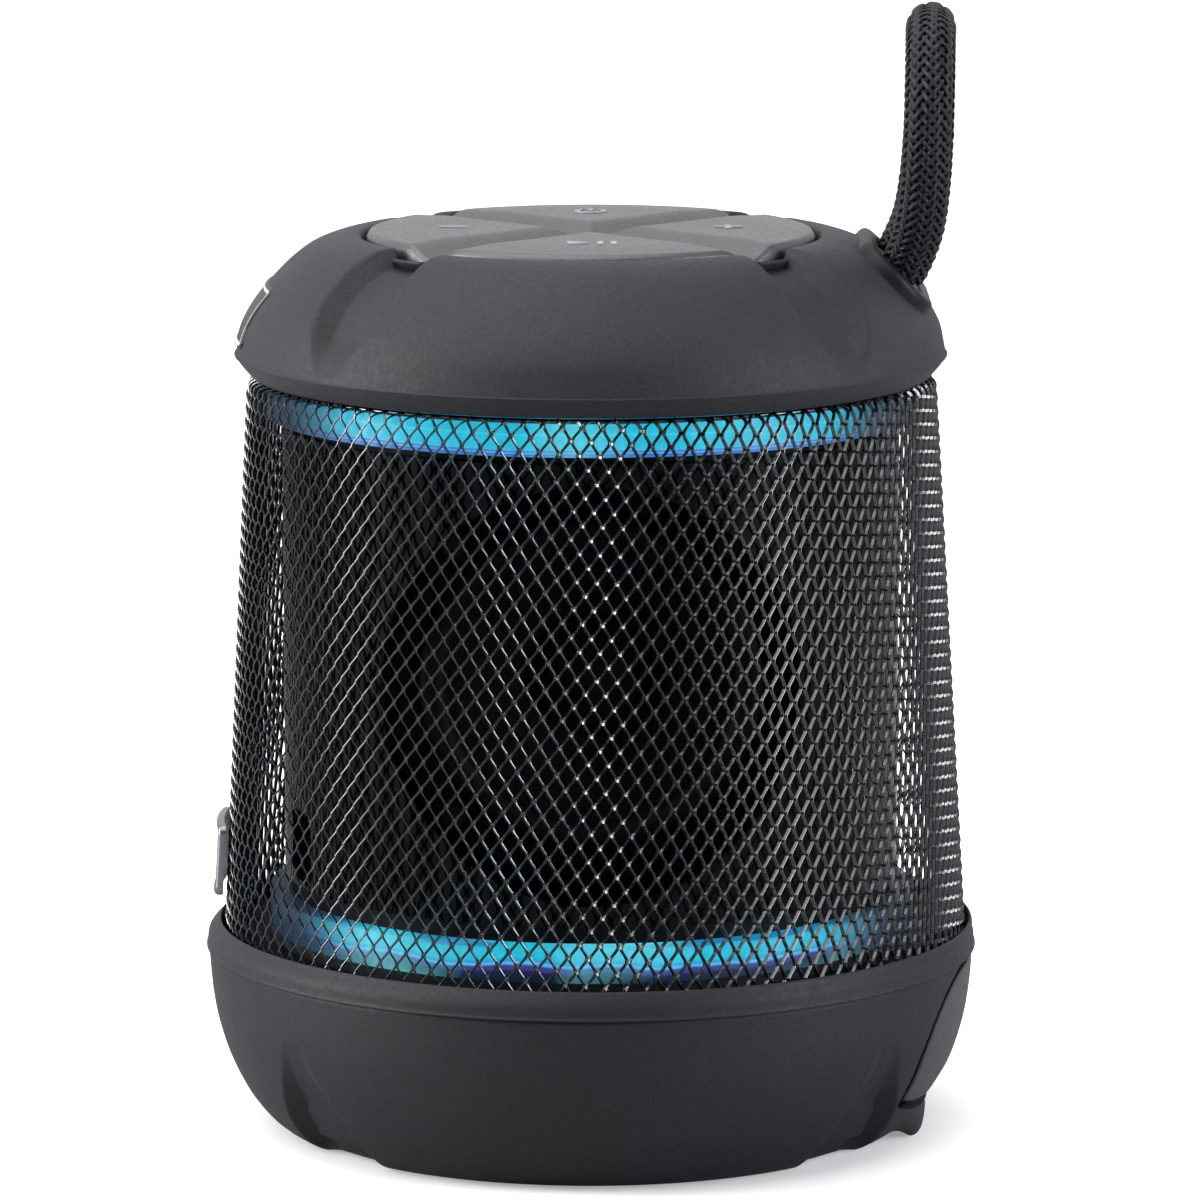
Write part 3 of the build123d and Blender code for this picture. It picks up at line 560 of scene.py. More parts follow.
# the still ends inside the collar
ex = np.array([math.cos(math.radians(59.4)), 0, math.sin(math.radians(59.4))])
for i, y in enumerate((-7.6, 7.6)):
    p0 = np.array([39.30, y, 111.05]) * MM
    seg = np.array([p0 - ex * 9.4 * MM, p0 - ex * 1.2 * MM])
    tail = braid(f"loop_end_{'front' if i == 0 else 'back'}", seg, CORD_R - 0.12 * MM, mat=CORD, fuzz=0, seed=11 + i)
    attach(tail, "housing")
    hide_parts("cord_tails")

# ------------------------------------------------------------------ rubber boots
R2D = 180 / math.pi
LEAN_TOP, LEAN_LOW = 0.12, 0.55      # how far the grille stands towards +X at its top and bottom


def offset_profile(prof):
    """Outward normals of an (r, z) line walked so that outward is on its left or right as needed."""
    p = np.asarray(prof, float)
    t = np.gradient(p, axis=0)
    t /= np.linalg.norm(t, axis=1)[:, None] + 1e-12
    return np.stack([t[:, 1], -t[:, 0]], axis=1)


def lathe(name, prof, normals, disp, n_az=720, mat=None, close=True):
    """Turns a closed (r, z) profile in mm; disp(az_deg, r, z) moves points along their normals."""
    az = np.linspace(-180, 180, n_az, endpoint=False)
    P = np.asarray(prof, float)
    N = np.asarray(normals, float)
    A = az[:, None]
    r, z = P[None, :, 0], P[None, :, 1]
    d = disp(A, np.broadcast_to(r, (n_az, len(P))), np.broadcast_to(z, (n_az, len(P))))
    rr = r + d * N[None, :, 0]
    zz = z + d * N[None, :, 1]
    a = np.radians(A)
    V = np.stack([rr * np.sin(a), -rr * np.cos(a), zz], axis=2).reshape(-1, 3) * MM
    return mesh_obj(name, V, grid_faces(n_az, len(P), close_n=True, close_m=close), mat=mat)


# azimuth here is measured from the front (-Y), positive towards +X
def flute_shape(u, hw, edge):
    """Cross-section of a flute: 0 outside, 1 in the middle, with a crisp edge."""
    t = np.clip(1 - u / hw, 0, 1)
    return np.clip(t / edge, 0, 1) ** 0.85 * (1 - 0.10 * np.clip((u / hw), 0, 1))


def top_flute(az, r, z):
    d = 0.0
    for c in (-47.0, 47.0, -133.0, 133.0):
        u = np.abs(az - c)
        s = smoothstep(100.6, 107.0, z)
        hw = 3.2 + 5.6 * smoothstep(100.4, 110.0, z)
        d = d - (0.30 + 2.05 * s) * smoothstep(100.2, 101.6, z) * flute_shape(u, hw, 0.46)
    return d


cap_low = [(42.75, 100.2), (42.75, 98.0), (42.8, 97.5), (43.0, 97.32), (43.3, 97.4), (43.75, 97.85), (44.35, 98.52), (44.9, 99.2), (45.2, 99.66), (45.28, 99.8), (45.44, 99.84)]
cap_high = [(45.46, 99.92), (45.28, 99.98), (45.16, 100.5), (44.86, 101.8), (44.25, 103.8), (42.85, 106.35), (40.7, 109.05), (38.1, 111.7), (35.7, 113.5),
            (33.4, 114.55), (31.5, 115.0), (30.1, 115.12), (29.45, 115.0), (29.2, 114.6), (29.15, 113.9)]
cap_out = np.vstack([catmull(cap_low, 6), catmull(cap_high, 6)])
cap_in = even([(29.15, 112.65), (31.0, 112.65), (35.2, 111.15), (38.25, 108.45), (41.25, 104.05), (42.75, 100.6)], 1.2)
prof = np.vstack([cap_out, cap_in])
nrm = np.vstack([offset_profile(cap_out), np.zeros((len(cap_in), 2))])


def cap_disp(az, r, z):
    d = top_flute(az, r, z)
    # lobes: each quarter a little fuller in its middle
    q = np.cos(np.radians(4 * az))
    d = d + 0.18 * q * smoothstep(100.5, 104, z) * (1 - smoothstep(113.5, 115.1, z))
    return d


top_boot = lathe("cap_boot", prof, nrm, cap_disp, mat=RUBBER)
recalc(top_boot)
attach(top_boot, "housing")
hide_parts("top_boot")

base_low = [(36.0, 1.0), (36.0, 0.25), (36.3, 0.0), (37.4, 0.0), (38.6, 0.05), (39.9, 0.55), (41.9, 2.0), (44.15, 4.7), (45.7, 7.4), (46.9, 10.1), (47.75, 12.7),
            (48.4, 15.3), (48.82, 17.95), (49.08, 20.6), (49.2, 22.2), (49.22, 23.0), (49.12, 23.28), (49.2, 23.34)]
base_high = [(49.56, 23.37), (49.58, 23.48), (49.46, 23.75), (49.34, 24.9), (49.05, 25.7), (48.75, 26.3), (48.5, 26.72), (48.34, 26.86), (48.22, 26.8), (48.16, 26.5), (48.15, 26.0)]
base_out = np.vstack([catmull(base_low, 7), catmull(base_high, 7)])
base_in = even([(48.15, 23.6), (47.1, 23.6), (46.7, 18.0), (45.4, 12.0), (43.3, 6.5), (40.7, 2.65), (36.0, 1.85)], 1.2)
prof = np.vstack([base_out, base_in])
nrm = np.vstack([offset_profile(base_out), np.zeros((len(base_in), 2))])


def base_disp(az, r, z):
    d = 0.0
    for c in (-50.5, 50.5, -129.5, 129.5):
        u = np.abs(az - c)
        s = 1 - smoothstep(4.5, 15.8, z)
        hw = 2.6 + 7.0 * (1 - smoothstep(1.0, 16.8, z))
        d = d - (0.2 + 2.05 * s) * (1 - smoothstep(15.0, 17.2, z)) * flute_shape(u, hw, 0.46) * smoothstep(-0.5, 1.0, z)
    # chin below the port flap
    side = 1 - smoothstep(13.0, 27.0, np.abs(az - 90.0))
    up = 1.3 * smoothstep(8.0, 26.0, np.abs(az - 90.0))
    lift = smoothstep(0.25, 1.3, z - up) * (1 - smoothstep(2.7, 3.3, z))
    want = (43.35 - r) / 0.80
    d = d + side * lift * np.clip(want, 0, 2.6)
    return d


base = lathe("base_boot_skin", prof, nrm, base_disp, n_az=900, mat=RUBBER_BASE_SHADED)
co = np.zeros(len(base.data.vertices) * 3)
base.data.vertices.foreach_get("co", co)
co = co.reshape(-1, 3)
rr_ = np.hypot(co[:, 0], co[:, 1]) / MM
inner = smoothstep(49.45, 48.5, rr_) * smoothstep(24.4, 26.4, co[:, 2] / MM) + (rr_ < 48.3) * (co[:, 2] > 23.9 * MM)
co[:, 0] += np.clip(inner, 0, 1) * LEAN_LOW * MM
co[:, 0] = np.where((rr_ < 49.45) & (co[:, 2] > 24 * MM), co[:, 0], co[:, 0])
base.data.vertices.foreach_set("co", co.ravel())
recalc(base)

# the port flap's outline in the YZ plane
HX, HZ, RHO = 49.0, 22.6, 19.3
bo = np.array([(p[0], p[1]) for p in base_out if p[0] > 38.0 and p[1] < 28.0])
bo = bo[np.argsort(bo[:, 1])]


def base_r(z):
    return np.interp(z, bo[:, 1], bo[:, 0])


def arc3(p0, p1, p2, n):
    """Points of the circle through three points, from p0 to p2."""
    (ax, ay), (bx, by), (cx, cy) = p0, p1, p2
    d = 2 * (ax * (by - cy) + bx * (cy - ay) + cx * (ay - by))
    ux = ((ax**2 + ay**2) * (by - cy) + (bx**2 + by**2) * (cy - ay) + (cx**2 + cy**2) * (ay - by)) / d
    uy = ((ax**2 + ay**2) * (cx - bx) + (bx**2 + by**2) * (ax - cx) + (cx**2 + cy**2) * (bx - ax)) / d
    rr = math.hypot(ax - ux, ay - uy)
    a0, a1, a2 = (math.atan2(y - uy, x - ux) for x, y in (p0, p1, p2))
    while a1 < a0 - 1e-9:
        a1 += 2 * math.pi
    while a2 < a1 - 1e-9:
        a2 += 2 * math.pi
    if a2 - a0 > 2 * math.pi:
        a0, a1, a2 = (math.atan2(y - uy, x - ux) for x, y in (p0, p1, p2))
        while a1 > a0 + 1e-9:
            a1 -= 2 * math.pi
        while a2 > a1 + 1e-9:
            a2 -= 2 * math.pi
    return [(ux + rr * math.cos(t), uy + rr * math.sin(t)) for t in np.linspace(a0, a2, n)]


def flap_edge(g, round_r=2.2):
    """Closed outline (y, z) of the flap grown by g: arched top, straight sides, curved lower edge."""
    hw, zt = 23.0 + g, 22.6 + g
    low = []
    for y in np.linspace(-hw, hw, 41):
        z = 6.0
        for _ in range(30):
            x = math.sqrt(max(base_r(z) - 1.2, 1) ** 2 - y * y)
            z = HZ - math.sqrt(max((RHO + g) ** 2 - (HX - x) ** 2, 1))
        low.append((y, z))
    right = arc3((hw, 11.0), (20.6 + g * 0.9, 18.2 + g * 0.5), (11.0, zt), 15)
    left = [(-y, z) for y, z in right[::-1]]
    pts = low + [(hw, 8.5)] + right + [(0.0, zt)] + left + [(-hw, 8.5)]
    pts = even(pts + [pts[0]], 0.35)[:-1]
    # round the corners by local averaging
    p = pts.copy()
    for _ in range(int(round_r * 6)):
        p = 0.5 * p + 0.25 * np.roll(p, 1, axis=0) + 0.25 * np.roll(p, -1, axis=0)
    return p


def prism(name, outline, x0, x1):
    n = len(outline)
    V = [(x0, y, z) for y, z in outline] + [(x1, y, z) for y, z in outline]
    F = [[i, (i + 1) % n, n + (i + 1) % n, n + i] for i in range(n)] + [list(range(n))[::-1], list(range(n, 2 * n))]
    ob = mesh_obj(name, np.array(V) * MM, F, smooth=False)
    recalc(ob)
    return ob


def cut(ob, cutter):
    m = ob.modifiers.new("cut", "BOOLEAN")
    m.operation = "DIFFERENCE"
    m.solver = "EXACT"
    m.object = cutter
    bpy.context.view_layer.update()
    me = bpy.data.meshes.new_from_object(ob.evaluated_get(bpy.context.evaluated_depsgraph_get()))
    ob.modifiers.clear()
    old = ob.data
    name = old.name
    ob.data = me
    bpy.data.meshes.remove(old)
    me.name = name
    bpy.data.objects.remove(cutter)


cut(base, prism("flap_cutter", flap_edge(0.72), 30.0, 60.0))
sharp_edges(base, 40)
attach(base, "housing")
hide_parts("base_boot")

# the flap itself: domed patch with rounded edge, on its own body
edge = flap_edge(-0.38)
n_e = len(edge)
cen = np.array([0.0, 13.0])
ts = np.concatenate([np.linspace(0, 0.86, 22), np.linspace(0.885, 0.97, 7), np.linspace(0.976, 1.0, 9)])
V, F = [], []


def flap_x(y, z, depth):
    r = base_r(z) - depth
    return np.sqrt(np.maximum(r * r - y * y, 1.0))


for t in ts:
    p = cen + (edge - cen) * t
    inset = np.linalg.norm(edge - cen, axis=1) * (1 - t)
    rr = 0.9
    fall = rr - np.sqrt(np.maximum(rr * rr - np.maximum(rr - inset, 0) ** 2, 0))
    low = smoothstep(9.5, 4.5, p[:, 1])
    dep = 0.02 + 0.35 * low + fall
    V += [(flap_x(y, z, d), y, z) for (y, z), d in zip(p, dep)]
k_out = len(ts)
for t in (1.0, 0.97, 0.0):
    p = cen + (edge - cen) * t
    V += [(flap_x(y, z, 2.35 if base_r(z) > 44 else 2.2), y, z) for y, z in p]
F = grid_faces(k_out + 3, n_e, close_m=True)
flap = mesh_obj("flap_skin", np.array(V) * MM, F, mat=FLAP_MAT)
# painted shadow: the flap's rounded edge and side walls are coloured near-black with almost no specular, standing in
# for the shade in the gap round the flap
gap_shade_v = np.concatenate([np.repeat(smoothstep(0.972, 0.992, np.array(ts)), n_e), np.ones(3 * n_e)])
att = flap.data.attributes.new("rim", "FLOAT", "POINT")
att.data.foreach_set("value", gap_shade_v.astype(np.float32))
nt = FLAP_MAT.node_tree
at = nt.nodes.new("ShaderNodeAttribute")
at.attribute_name = "rim"
f_b = [n for n in nt.nodes if n.type == "BSDF_PRINCIPLED"][0]
nt.links.new(n_mix(nt, at.outputs["Fac"], f_b.inputs["Base Color"].links[0].from_socket, (0.002, 0.002, 0.0025)), f_b.inputs["Base Color"])
nt.links.new(n_map(nt, at.outputs["Fac"], 0.0, 1.0, 0.70, 0.02).outputs["Result"], f_b.inputs["Specular IOR Level"])
bm = bmesh.new()
bm.from_mesh(flap.data)
bmesh.ops.remove_doubles(bm, verts=bm.verts, dist=1e-7)
bmesh.ops.recalc_face_normals(bm, faces=bm.faces)
bm.to_mesh(flap.data)
bm.free()
sharp_edges(flap, 50)
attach(flap, "flap")
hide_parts("port_flap")

# ------------------------------------------------------------------ grille
SW, LW = 2.47, 3.45                 # pitch across and along
TILT = math.radians(43)            # the ribbon rises outward towards the right
W_S, T_S = 0.47, 0.25               # ribbon width and thickness
GR1, GZ1, GT = 44.35, 93.7, 0.0520
HALF = math.atan(GT)
KC = math.sin(HALF)
MIDOFF = 0.50                       # the mesh's middle lies this far inside its outer size
# generator line (distance down from the top edge -> r, z)
roll = catmull([(42.3, 96.95), (42.75, 96.85), (43.25, 96.5), (43.62, 95.9), (43.76, 95.1), (43.80, 94.2), (43.93, 92.0)], 6)
zlow = 24.0
gen = np.vstack([roll[:-1], [(GR1 - MIDOFF + GT * (GZ1 - z), z) for z in np.linspace(91.2, zlow, 60)]])
g_s = np.concatenate([[0], np.cumsum(np.linalg.norm(np.diff(gen, axis=0), axis=1))])
S_TOT = g_s[-1]
g_t = np.gradient(gen, axis=0)
g_t /= np.linalg.norm(g_t, axis=1)[:, None]
L0 = (GR1 - MIDOFF) / KC            # apex distance at GZ1
s_at_gz1 = np.interp(-GZ1, -gen[:, 1], g_s)


def sheet_point(x, y):
    """Flat sheet (x right, y down, mm; origin at the front, top edge) -> azimuth, distance down."""
    ay = L0 + (y - s_at_gz1)
    s = np.hypot(x, ay)
    az = np.arctan2(x, ay) / KC
    return az, s - L0 + s_at_gz1


def on_grille(az, s, tan_off, rad_off):
    """Point of the grille at azimuth and distance down, moved along the tangent and outward."""
    r = np.interp(s, g_s, gen[:, 0])
    z = np.interp(s, g_s, gen[:, 1])
    tr = np.interp(s, g_s, g_t[:, 0])
    tz = np.interp(s, g_s, g_t[:, 1])
    nr, nz = -tz, tr                 # outward normal of the generator
    rr = r + rad_off * nr
    zz = z + rad_off * nz
    x = rr * np.sin(az) + tan_off * np.cos(az) + LEAN_TOP + (LEAN_LOW - LEAN_TOP) * np.clip((95 - zz) / 71.0, 0, 1)
    y = -rr * np.cos(az) + tan_off * np.sin(az)
    return np.stack([x, y, zz], axis=-1)


rot0 = math.radians(5.0)            # the lattice leans by this at the front
lean = math.radians(1.2)
ca = np.array([math.cos(rot0 - lean), math.sin(rot0 - lean)]) * SW      # one pitch across
cb = np.array([-math.sin(rot0 + lean), math.cos(rot0 + lean)]) * LW     # one pitch down
wavef = lambda u: np.clip(1.42 * (2 / math.pi) * np.arcsin(np.sin(u)), -1, 1)


def soft_wave(u):
    return (wavef(u - 0.16) + 2 * wavef(u) + wavef(u + 0.16)) / 4


A_S = SW / 4 - (W_S / 2) * math.cos(TILT)
per = 10
nx = int(160 / SW) + 12
ribs_v, ribs_f, Vn = [], [], 0
BV = 0.055
prof_r = [(-W_S / 2, T_S / 2 - BV), (-W_S / 2, -T_S / 2 + BV), (-W_S / 2 + BV, -T_S / 2), (W_S / 2 - BV, -T_S / 2),
          (W_S / 2, -T_S / 2 + BV), (W_S / 2, T_S / 2 - BV), (W_S / 2 - BV, T_S / 2), (-W_S / 2 + BV, T_S / 2)]
prof_r = np.array(prof_r)
ct, st = math.cos(TILT), math.sin(TILT)
# section in (tangent, outward): the ribbon's wide direction rises outward towards the right
sec = np.stack([prof_r[:, 0] * ct - prof_r[:, 1] * st, prof_r[:, 0] * st + prof_r[:, 1] * ct], axis=1)
rows = int(S_TOT / LW) + 16
tv = np.linspace(-rows / 2 - 6, rows / 2 + 14, int((rows + 20) * per) + 1)
for k in range(-2 * nx, 2 * nx + 1):
    sgn = 1 if k % 2 == 0 else -1
    u = 2 * math.pi * tv
    w = sgn * soft_wave(u)
    # strand middle in lattice coordinates: across (k+0.5)/2 pitches
    c = (k + 0.5) / 2
    base_xy = c * ca[None, :] + tv[:, None] * cb[None, :]
    off = w * A_S
    dep = -w * (W_S / 2) * st * 1.0
    x = base_xy[:, 0] + off
    y = base_xy[:, 1] + S_TOT * 0.5
    az, s = sheet_point(x, y)
    ok = (s > 0.02) & (s < S_TOT - 0.02) & (np.abs(az) < math.pi - 0.012)
    idx = np.where(ok)[0]
    if len(idx) < 4:
        continue
    for run in np.split(idx, np.where(np.diff(idx) > 1)[0] + 1):
        if len(run) < 4:
            continue
        P = on_grille(az[run][:, None], s[run][:, None], sec[None, :, 0], sec[None, :, 1] + dep[run][:, None])
        ribs_v.append(P.reshape(-1, 3))
        m = len(sec)
        ribs_f.append(grid_faces(len(run), m, close_m=True, base=Vn))
        ribs_f.append([list(range(Vn, Vn + m))[::-1], list(range(Vn + (len(run) - 1) * m, Vn + len(run) * m))])
        Vn += len(run) * m
fl = [tuple(int(i) for i in q) for f in ribs_f for q in f]
grille = mesh_obj("grille_mesh", np.vstack(ribs_v) * MM, fl, smooth=False, mat=PAINT)
recalc(grille)
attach(grille, "housing")
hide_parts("grille")
print("grille strands: verts", Vn)

# solid hems: inner top ring and the welded seam at the back
az = np.radians(np.linspace(-180, 180, 361)[:-1])
hem = np.array([(41.9, 97.1), (42.2, 97.14), (42.45, 97.05), (42.5, 96.7), (42.25, 96.5), (41.95, 96.55)])
V = np.stack([hem[None, :, 0] * np.sin(az)[:, None], -hem[None, :, 0] * np.cos(az)[:, None], np.broadcast_to(hem[None, :, 1], (len(az), len(hem)))], axis=2)
hem_ob = mesh_obj("grille_hem", V.reshape(-1, 3) * MM, grid_faces(len(az), len(hem), close_n=True, close_m=True), mat=PAINT)
recalc(hem_ob)
ss = np.linspace(0.3, S_TOT, 120)
ww = np.array([-2.6, -2.4, 2.4, 2.6])
tt = np.array([0.28, 0.40, 0.40, 0.28])
V = []
for s in ss:
    for w, t in list(zip(ww, tt)) + [(2.6, -0.3), (-2.6, -0.3)]:
        V.append(on_grille(np.array(math.pi), np.array(s), w, t))
F = [tuple(q) for q in grid_faces(len(ss), 6, close_m=True)] + [tuple(range(5, -1, -1)), tuple(range((len(ss) - 1) * 6, len(ss) * 6))]
seam = mesh_obj("grille_seam", np.array(V) * MM, F, smooth=False, mat=PAINT)
recalc(seam)
for o in (hem_ob, seam):
    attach(o, "housing")
    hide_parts("grille")


# ------------------------------------------------------------------ badges
def curved_plate(name, rz, az_c, half_y, z0, z1, thick, corner, edge_r, mat, rim=0.0, rim_w=0.0, n=(46, 40), back=0.4):
    """Rounded-corner plate that follows a turned surface: rz(z) gives the surface radius, facing az_c."""
    ny, nz = n
    us = np.linspace(-1, 1, ny)
    vs = np.linspace(-1, 1, nz)
    hz = (z1 - z0) / 2
    zc = (z1 + z0) / 2
    # warp a square grid to a rounded rectangle
    U, Vv = np.meshgrid(us, vs, indexing="ij")
    y = U * half_y
    z = Vv * hz
    dx = np.maximum(np.abs(y) - (half_y - corner), 0)
    dz = np.maximum(np.abs(z) - (hz - corner), 0)
    mxd = np.maximum(dx, dz)
    hyp = np.hypot(dx, dz) + 1e-9
    f = np.where((dx > 0) & (dz > 0), mxd / hyp, 1.0)
    y = np.sign(y) * (np.minimum(np.abs(y), half_y - corner) + dx * f)
    z = np.sign(z) * (np.minimum(np.abs(z), hz - corner) + dz * f)
    dx = np.maximum(np.abs(y) - (half_y - corner), 0)
    dz = np.maximum(np.abs(z) - (hz - corner), 0)
    ins = corner - np.hypot(dx, dz)
    ins = np.where((dx == 0) & (dz == 0), np.minimum(half_y - np.abs(y), hz - np.abs(z)), ins)
    ins = np.maximum(ins, 0)
    h = thick - edge_r + np.sqrt(np.maximum(edge_r**2 - np.maximum(edge_r - ins, 0) ** 2, 0))
    if rim:
        h = h - rim * smoothstep(rim_w, rim_w + 0.25, ins)
    zz = z + zc
    R = rz(zz) + h
    R0 = rz(zz) - back
    pts = []
    for RR in (R, R0):
        x = np.sqrt(np.maximum(RR**2 - y**2, 1))
        a = math.radians(az_c)
        # outward direction for azimuth az_c from the front
        ox, oy = math.sin(a), -math.cos(a)
        tx, ty = math.cos(a), math.sin(a)
        pts.append(np.stack([x * ox + y * tx, x * oy + y * ty, zz], axis=2).reshape(-1, 3))
    F = [tuple(q) for q in grid_faces(ny, nz)] + [tuple(q[::-1]) for q in grid_faces(ny, nz, base=ny * nz)]
    bd = [i * nz for i in range(ny)] + [(ny - 1) * nz + j for j in range(1, nz)] + [i * nz + nz - 1 for i in range(ny - 2, -1, -1)] + [j for j in range(nz - 2, 0, -1)]
    o = ny * nz
    for a_, b_ in zip(bd, bd[1:] + bd[:1]):
        F.append((a_, a_ + o, b_ + o, b_))
    ob = mesh_obj(name, np.vstack(pts) * MM, F, mat=mat)
    att = ob.data.attributes.new("inset", "FLOAT", "POINT")
    att.data.foreach_set("value", np.concatenate([ins.ravel(), np.zeros(ny * nz)]).astype(np.float32))
    recalc(ob)
    sharp_edges(ob, 55)
    return ob


cap_rz_pts = cap_out[(cap_out[:, 1] > 99.0) & (cap_out[:, 0] > 30)]
cap_rz_pts = cap_rz_pts[np.argsort(cap_rz_pts[:, 1])]
cap_rz = lambda z: np.interp(z, cap_rz_pts[:, 1], cap_rz_pts[:, 0])
gr_rz = lambda z: GR1 + GT * (GZ1 - z)
BADGE_CAP = rubber("badge_rubber", (0.012, 0.012, 0.0135), rough=0.45, grain=0.5, spec=0.5, specks=0.0)
BADGE_METAL = brushed("badge_metal", (0.22, 0.23, 0.25), 0.30, axis=(1, 1, 40), scale=1400)
# a pale printed line runs round the cap badge just inside its edge
nt = BADGE_CAP.node_tree
at = nt.nodes.new("ShaderNodeAttribute")
at.attribute_name = "inset"
b_in = [n for n in nt.nodes if n.type == "BSDF_PRINCIPLED"][0].inputs["Base Color"]
lineup = n_map(nt, at.outputs["Fac"], 0.25 , 0.40, 0.0, 1.0)
linedn = n_map(nt, at.outputs["Fac"], 0.60 , 0.75, 1.0, 0.0)
nt.links.new(n_mix(nt, n_math(nt, "MULTIPLY", lineup.outputs["Result"], linedn.outputs["Result"]), b_in.links[0].from_socket, (0.55, 0.56, 0.58)), b_in)
b1 = curved_plate("cap_badge_plate", lambda z: cap_rz(z) + 0.12, -90, 9.0, 101.4, 109.0, 0.35, 0.8, 0.22, BADGE_CAP, rim=0.2, rim_w=0.45, back=0.8)
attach(b1, "housing"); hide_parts("cap_badge")
b2 = curved_plate("grille_badge_plate", lambda z: gr_rz(z) + 0.02, -90, 7.0, 30.4, 39.6, 1.0, 1.1, 0.3, BADGE_METAL, rim=0.22, rim_w=0.6, back=0.0)
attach(b2, "housing"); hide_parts("grille_badge")

# ------------------------------------------------------------------ control panel and keys
RP = 28.65


def valley_d(x, y):
    """Distance to the nearer of the two valley lines."""
    s = math.sqrt(0.5)
    return np.minimum(np.abs((x - y) * s), np.abs((x + y) * s))


# panel plate under the keys, with the X ridge floor
nr_, na_ = 60, 360
rad = np.concatenate([np.linspace(0.0, 27.6, nr_ - 8), np.linspace(27.8, RP, 8)])
an = np.linspace(0, 2 * math.pi, na_, endpoint=False)
RR, AA = np.meshgrid(rad, an, indexing="ij")
X, Y = RR * np.cos(AA), RR * np.sin(AA)
vd = valley_d(X, Y)
Zp = 112.7 + 1.55 * (1 - smoothstep(0.9, 1.5, vd)) - 0.5 * smoothstep(27.4, 28.65, RR)
top = np.stack([X, Y, Zp], axis=2)
bot = np.array([[(RP * math.cos(a), RP * math.sin(a), 110.9) for a in an], [(0.01 * math.cos(a), 0.01 * math.sin(a), 110.9) for a in an]])
Vp = np.vstack([top.reshape(-1, 3), bot.reshape(-1, 3)])
panel = mesh_obj("panel_plate", Vp * MM, grid_faces(nr_ + 2, na_, close_m=True), mat=PANEL)
bm = bmesh.new(); bm.from_mesh(panel.data)
bmesh.ops.remove_doubles(bm, verts=bm.verts, dist=2e-8)
bmesh.ops.recalc_face_normals(bm, faces=bm.faces); bm.to_mesh(panel.data); bm.free()
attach(panel, "housing"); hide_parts("control_panel")


def key_mesh(name, ang, body, node):
    """Petal key: rises from the valley, flat crown, rounded outer rim; a stem below."""
    g = 0.28
    s2 = math.sqrt(2)
    n_s, n_t = 72, 64
    V = []
    # petal coordinates: t from the tip outward, s across
    r_out = RP - 0.12
    tip = g * s2
    ts_ = np.linspace(0, 1, n_t) ** 0.9
    ss_ = np.linspace(-1, 1, n_s)
    # denser towards the edges
    ss_ = np.sin(ss_ * math.pi / 2) * 0.6 + ss_ * 0.4
    T, S = np.meshgrid(ts_, ss_, indexing="ij")
    rr = tip + (r_out - tip) * T
    # half angle so that the side keeps g from the valley line
    ha = math.pi / 4 - np.arcsin(np.clip(g / np.maximum(rr, 1e-6), -1, 1))
    a = S * ha
    x, y = rr * np.cos(a), rr * np.sin(a)
    d = valley_d(x * math.cos(0) , y)
    d = np.minimum(np.abs((x - y) / s2), np.abs((x + y) / s2)) - g
    rise = smoothstep(-0.6, 4.4, d)
    z = 114.28 + 1.72 * rise
    z = z - 0.35 * smoothstep(20.5, 28.5, rr)
    er = 0.85
    ins = r_out - rr
    z = z - (er - np.sqrt(np.maximum(er**2 - np.maximum(er - ins, 0) ** 2, 0)))
    ins2 = d
    z = z - 0.25 * np.maximum(1 - ins2 / 0.3, 0) ** 2
    # faint dish in the crown
    cx = 17.0
    z = z - 0.16 * np.exp(-(((x - cx) / 7.5) ** 2 + (y / 8.5) ** 2))
    up = np.stack([x, y, z], axis=2).reshape(-1, 3)
    dn = up.copy()
    dn[:, 2] = 113.05
    V = np.vstack([up, dn])
    F = [tuple(q) for q in grid_faces(n_t, n_s)] + [tuple(q[::-1]) for q in grid_faces(n_t, n_s, base=n_t * n_s)]
    bd = [i * n_s for i in range(n_t)] + [(n_t - 1) * n_s + j for j in range(1, n_s)] + [i * n_s + n_s - 1 for i in range(n_t - 2, -1, -1)] + [j for j in range(n_s - 2, 0, -1)]
    o = n_t * n_s
    for p, q in zip(bd, bd[1:] + bd[:1]):
        F.append((p, p + o, q + o, q))
    # stem
    b0 = len(V)
    m = 28
    ringa = np.linspace(0, 2 * math.pi, m, endpoint=False)
    st_ = [(16.5 + r_ * np.cos(ringa), r_ * np.sin(ringa), np.full(m, z_)) for r_, z_ in ((2.6, 113.2), (2.6, 107.7), (2.4, 107.5))]
    V = np.vstack([V] + [np.stack(q, axis=1) for q in st_])
    F += [tuple(q) for q in grid_faces(3, m, close_m=True, base=b0)] + [tuple(range(b0, b0 + m)), tuple(range(b0 + 2 * m, b0 + 3 * m))[::-1]]
    c, s = math.cos(math.radians(ang)), math.sin(math.radians(ang))
    X_, Y_ = V[:, 0] * c - V[:, 1] * s, V[:, 0] * s + V[:, 1] * c
    V = np.stack([X_, Y_, V[:, 2]], axis=1)
    ob = mesh_obj(name, V * MM, F, mat=KEY)
    bm = bmesh.new(); bm.from_mesh(ob.data)
    bmesh.ops.remove_doubles(bm, verts=bm.verts, dist=1e-8)
    bmesh.ops.recalc_face_normals(bm, faces=bm.faces); bm.to_mesh(ob.data); bm.free()
    sharp_edges(ob, 60)
    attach(ob, body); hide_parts(node)
    return ob


for nm, ang in (("front", -90), ("right", 0), ("back", 90), ("left", 180)):
    key_mesh("key_cap_" + nm, ang, "key_" + nm, "key_" + nm)

# raised icons: generic shapes, one piece per key
ICON = plastic("icon_print", (0.30, 0.30, 0.31), rough=0.5, bump=0.3)


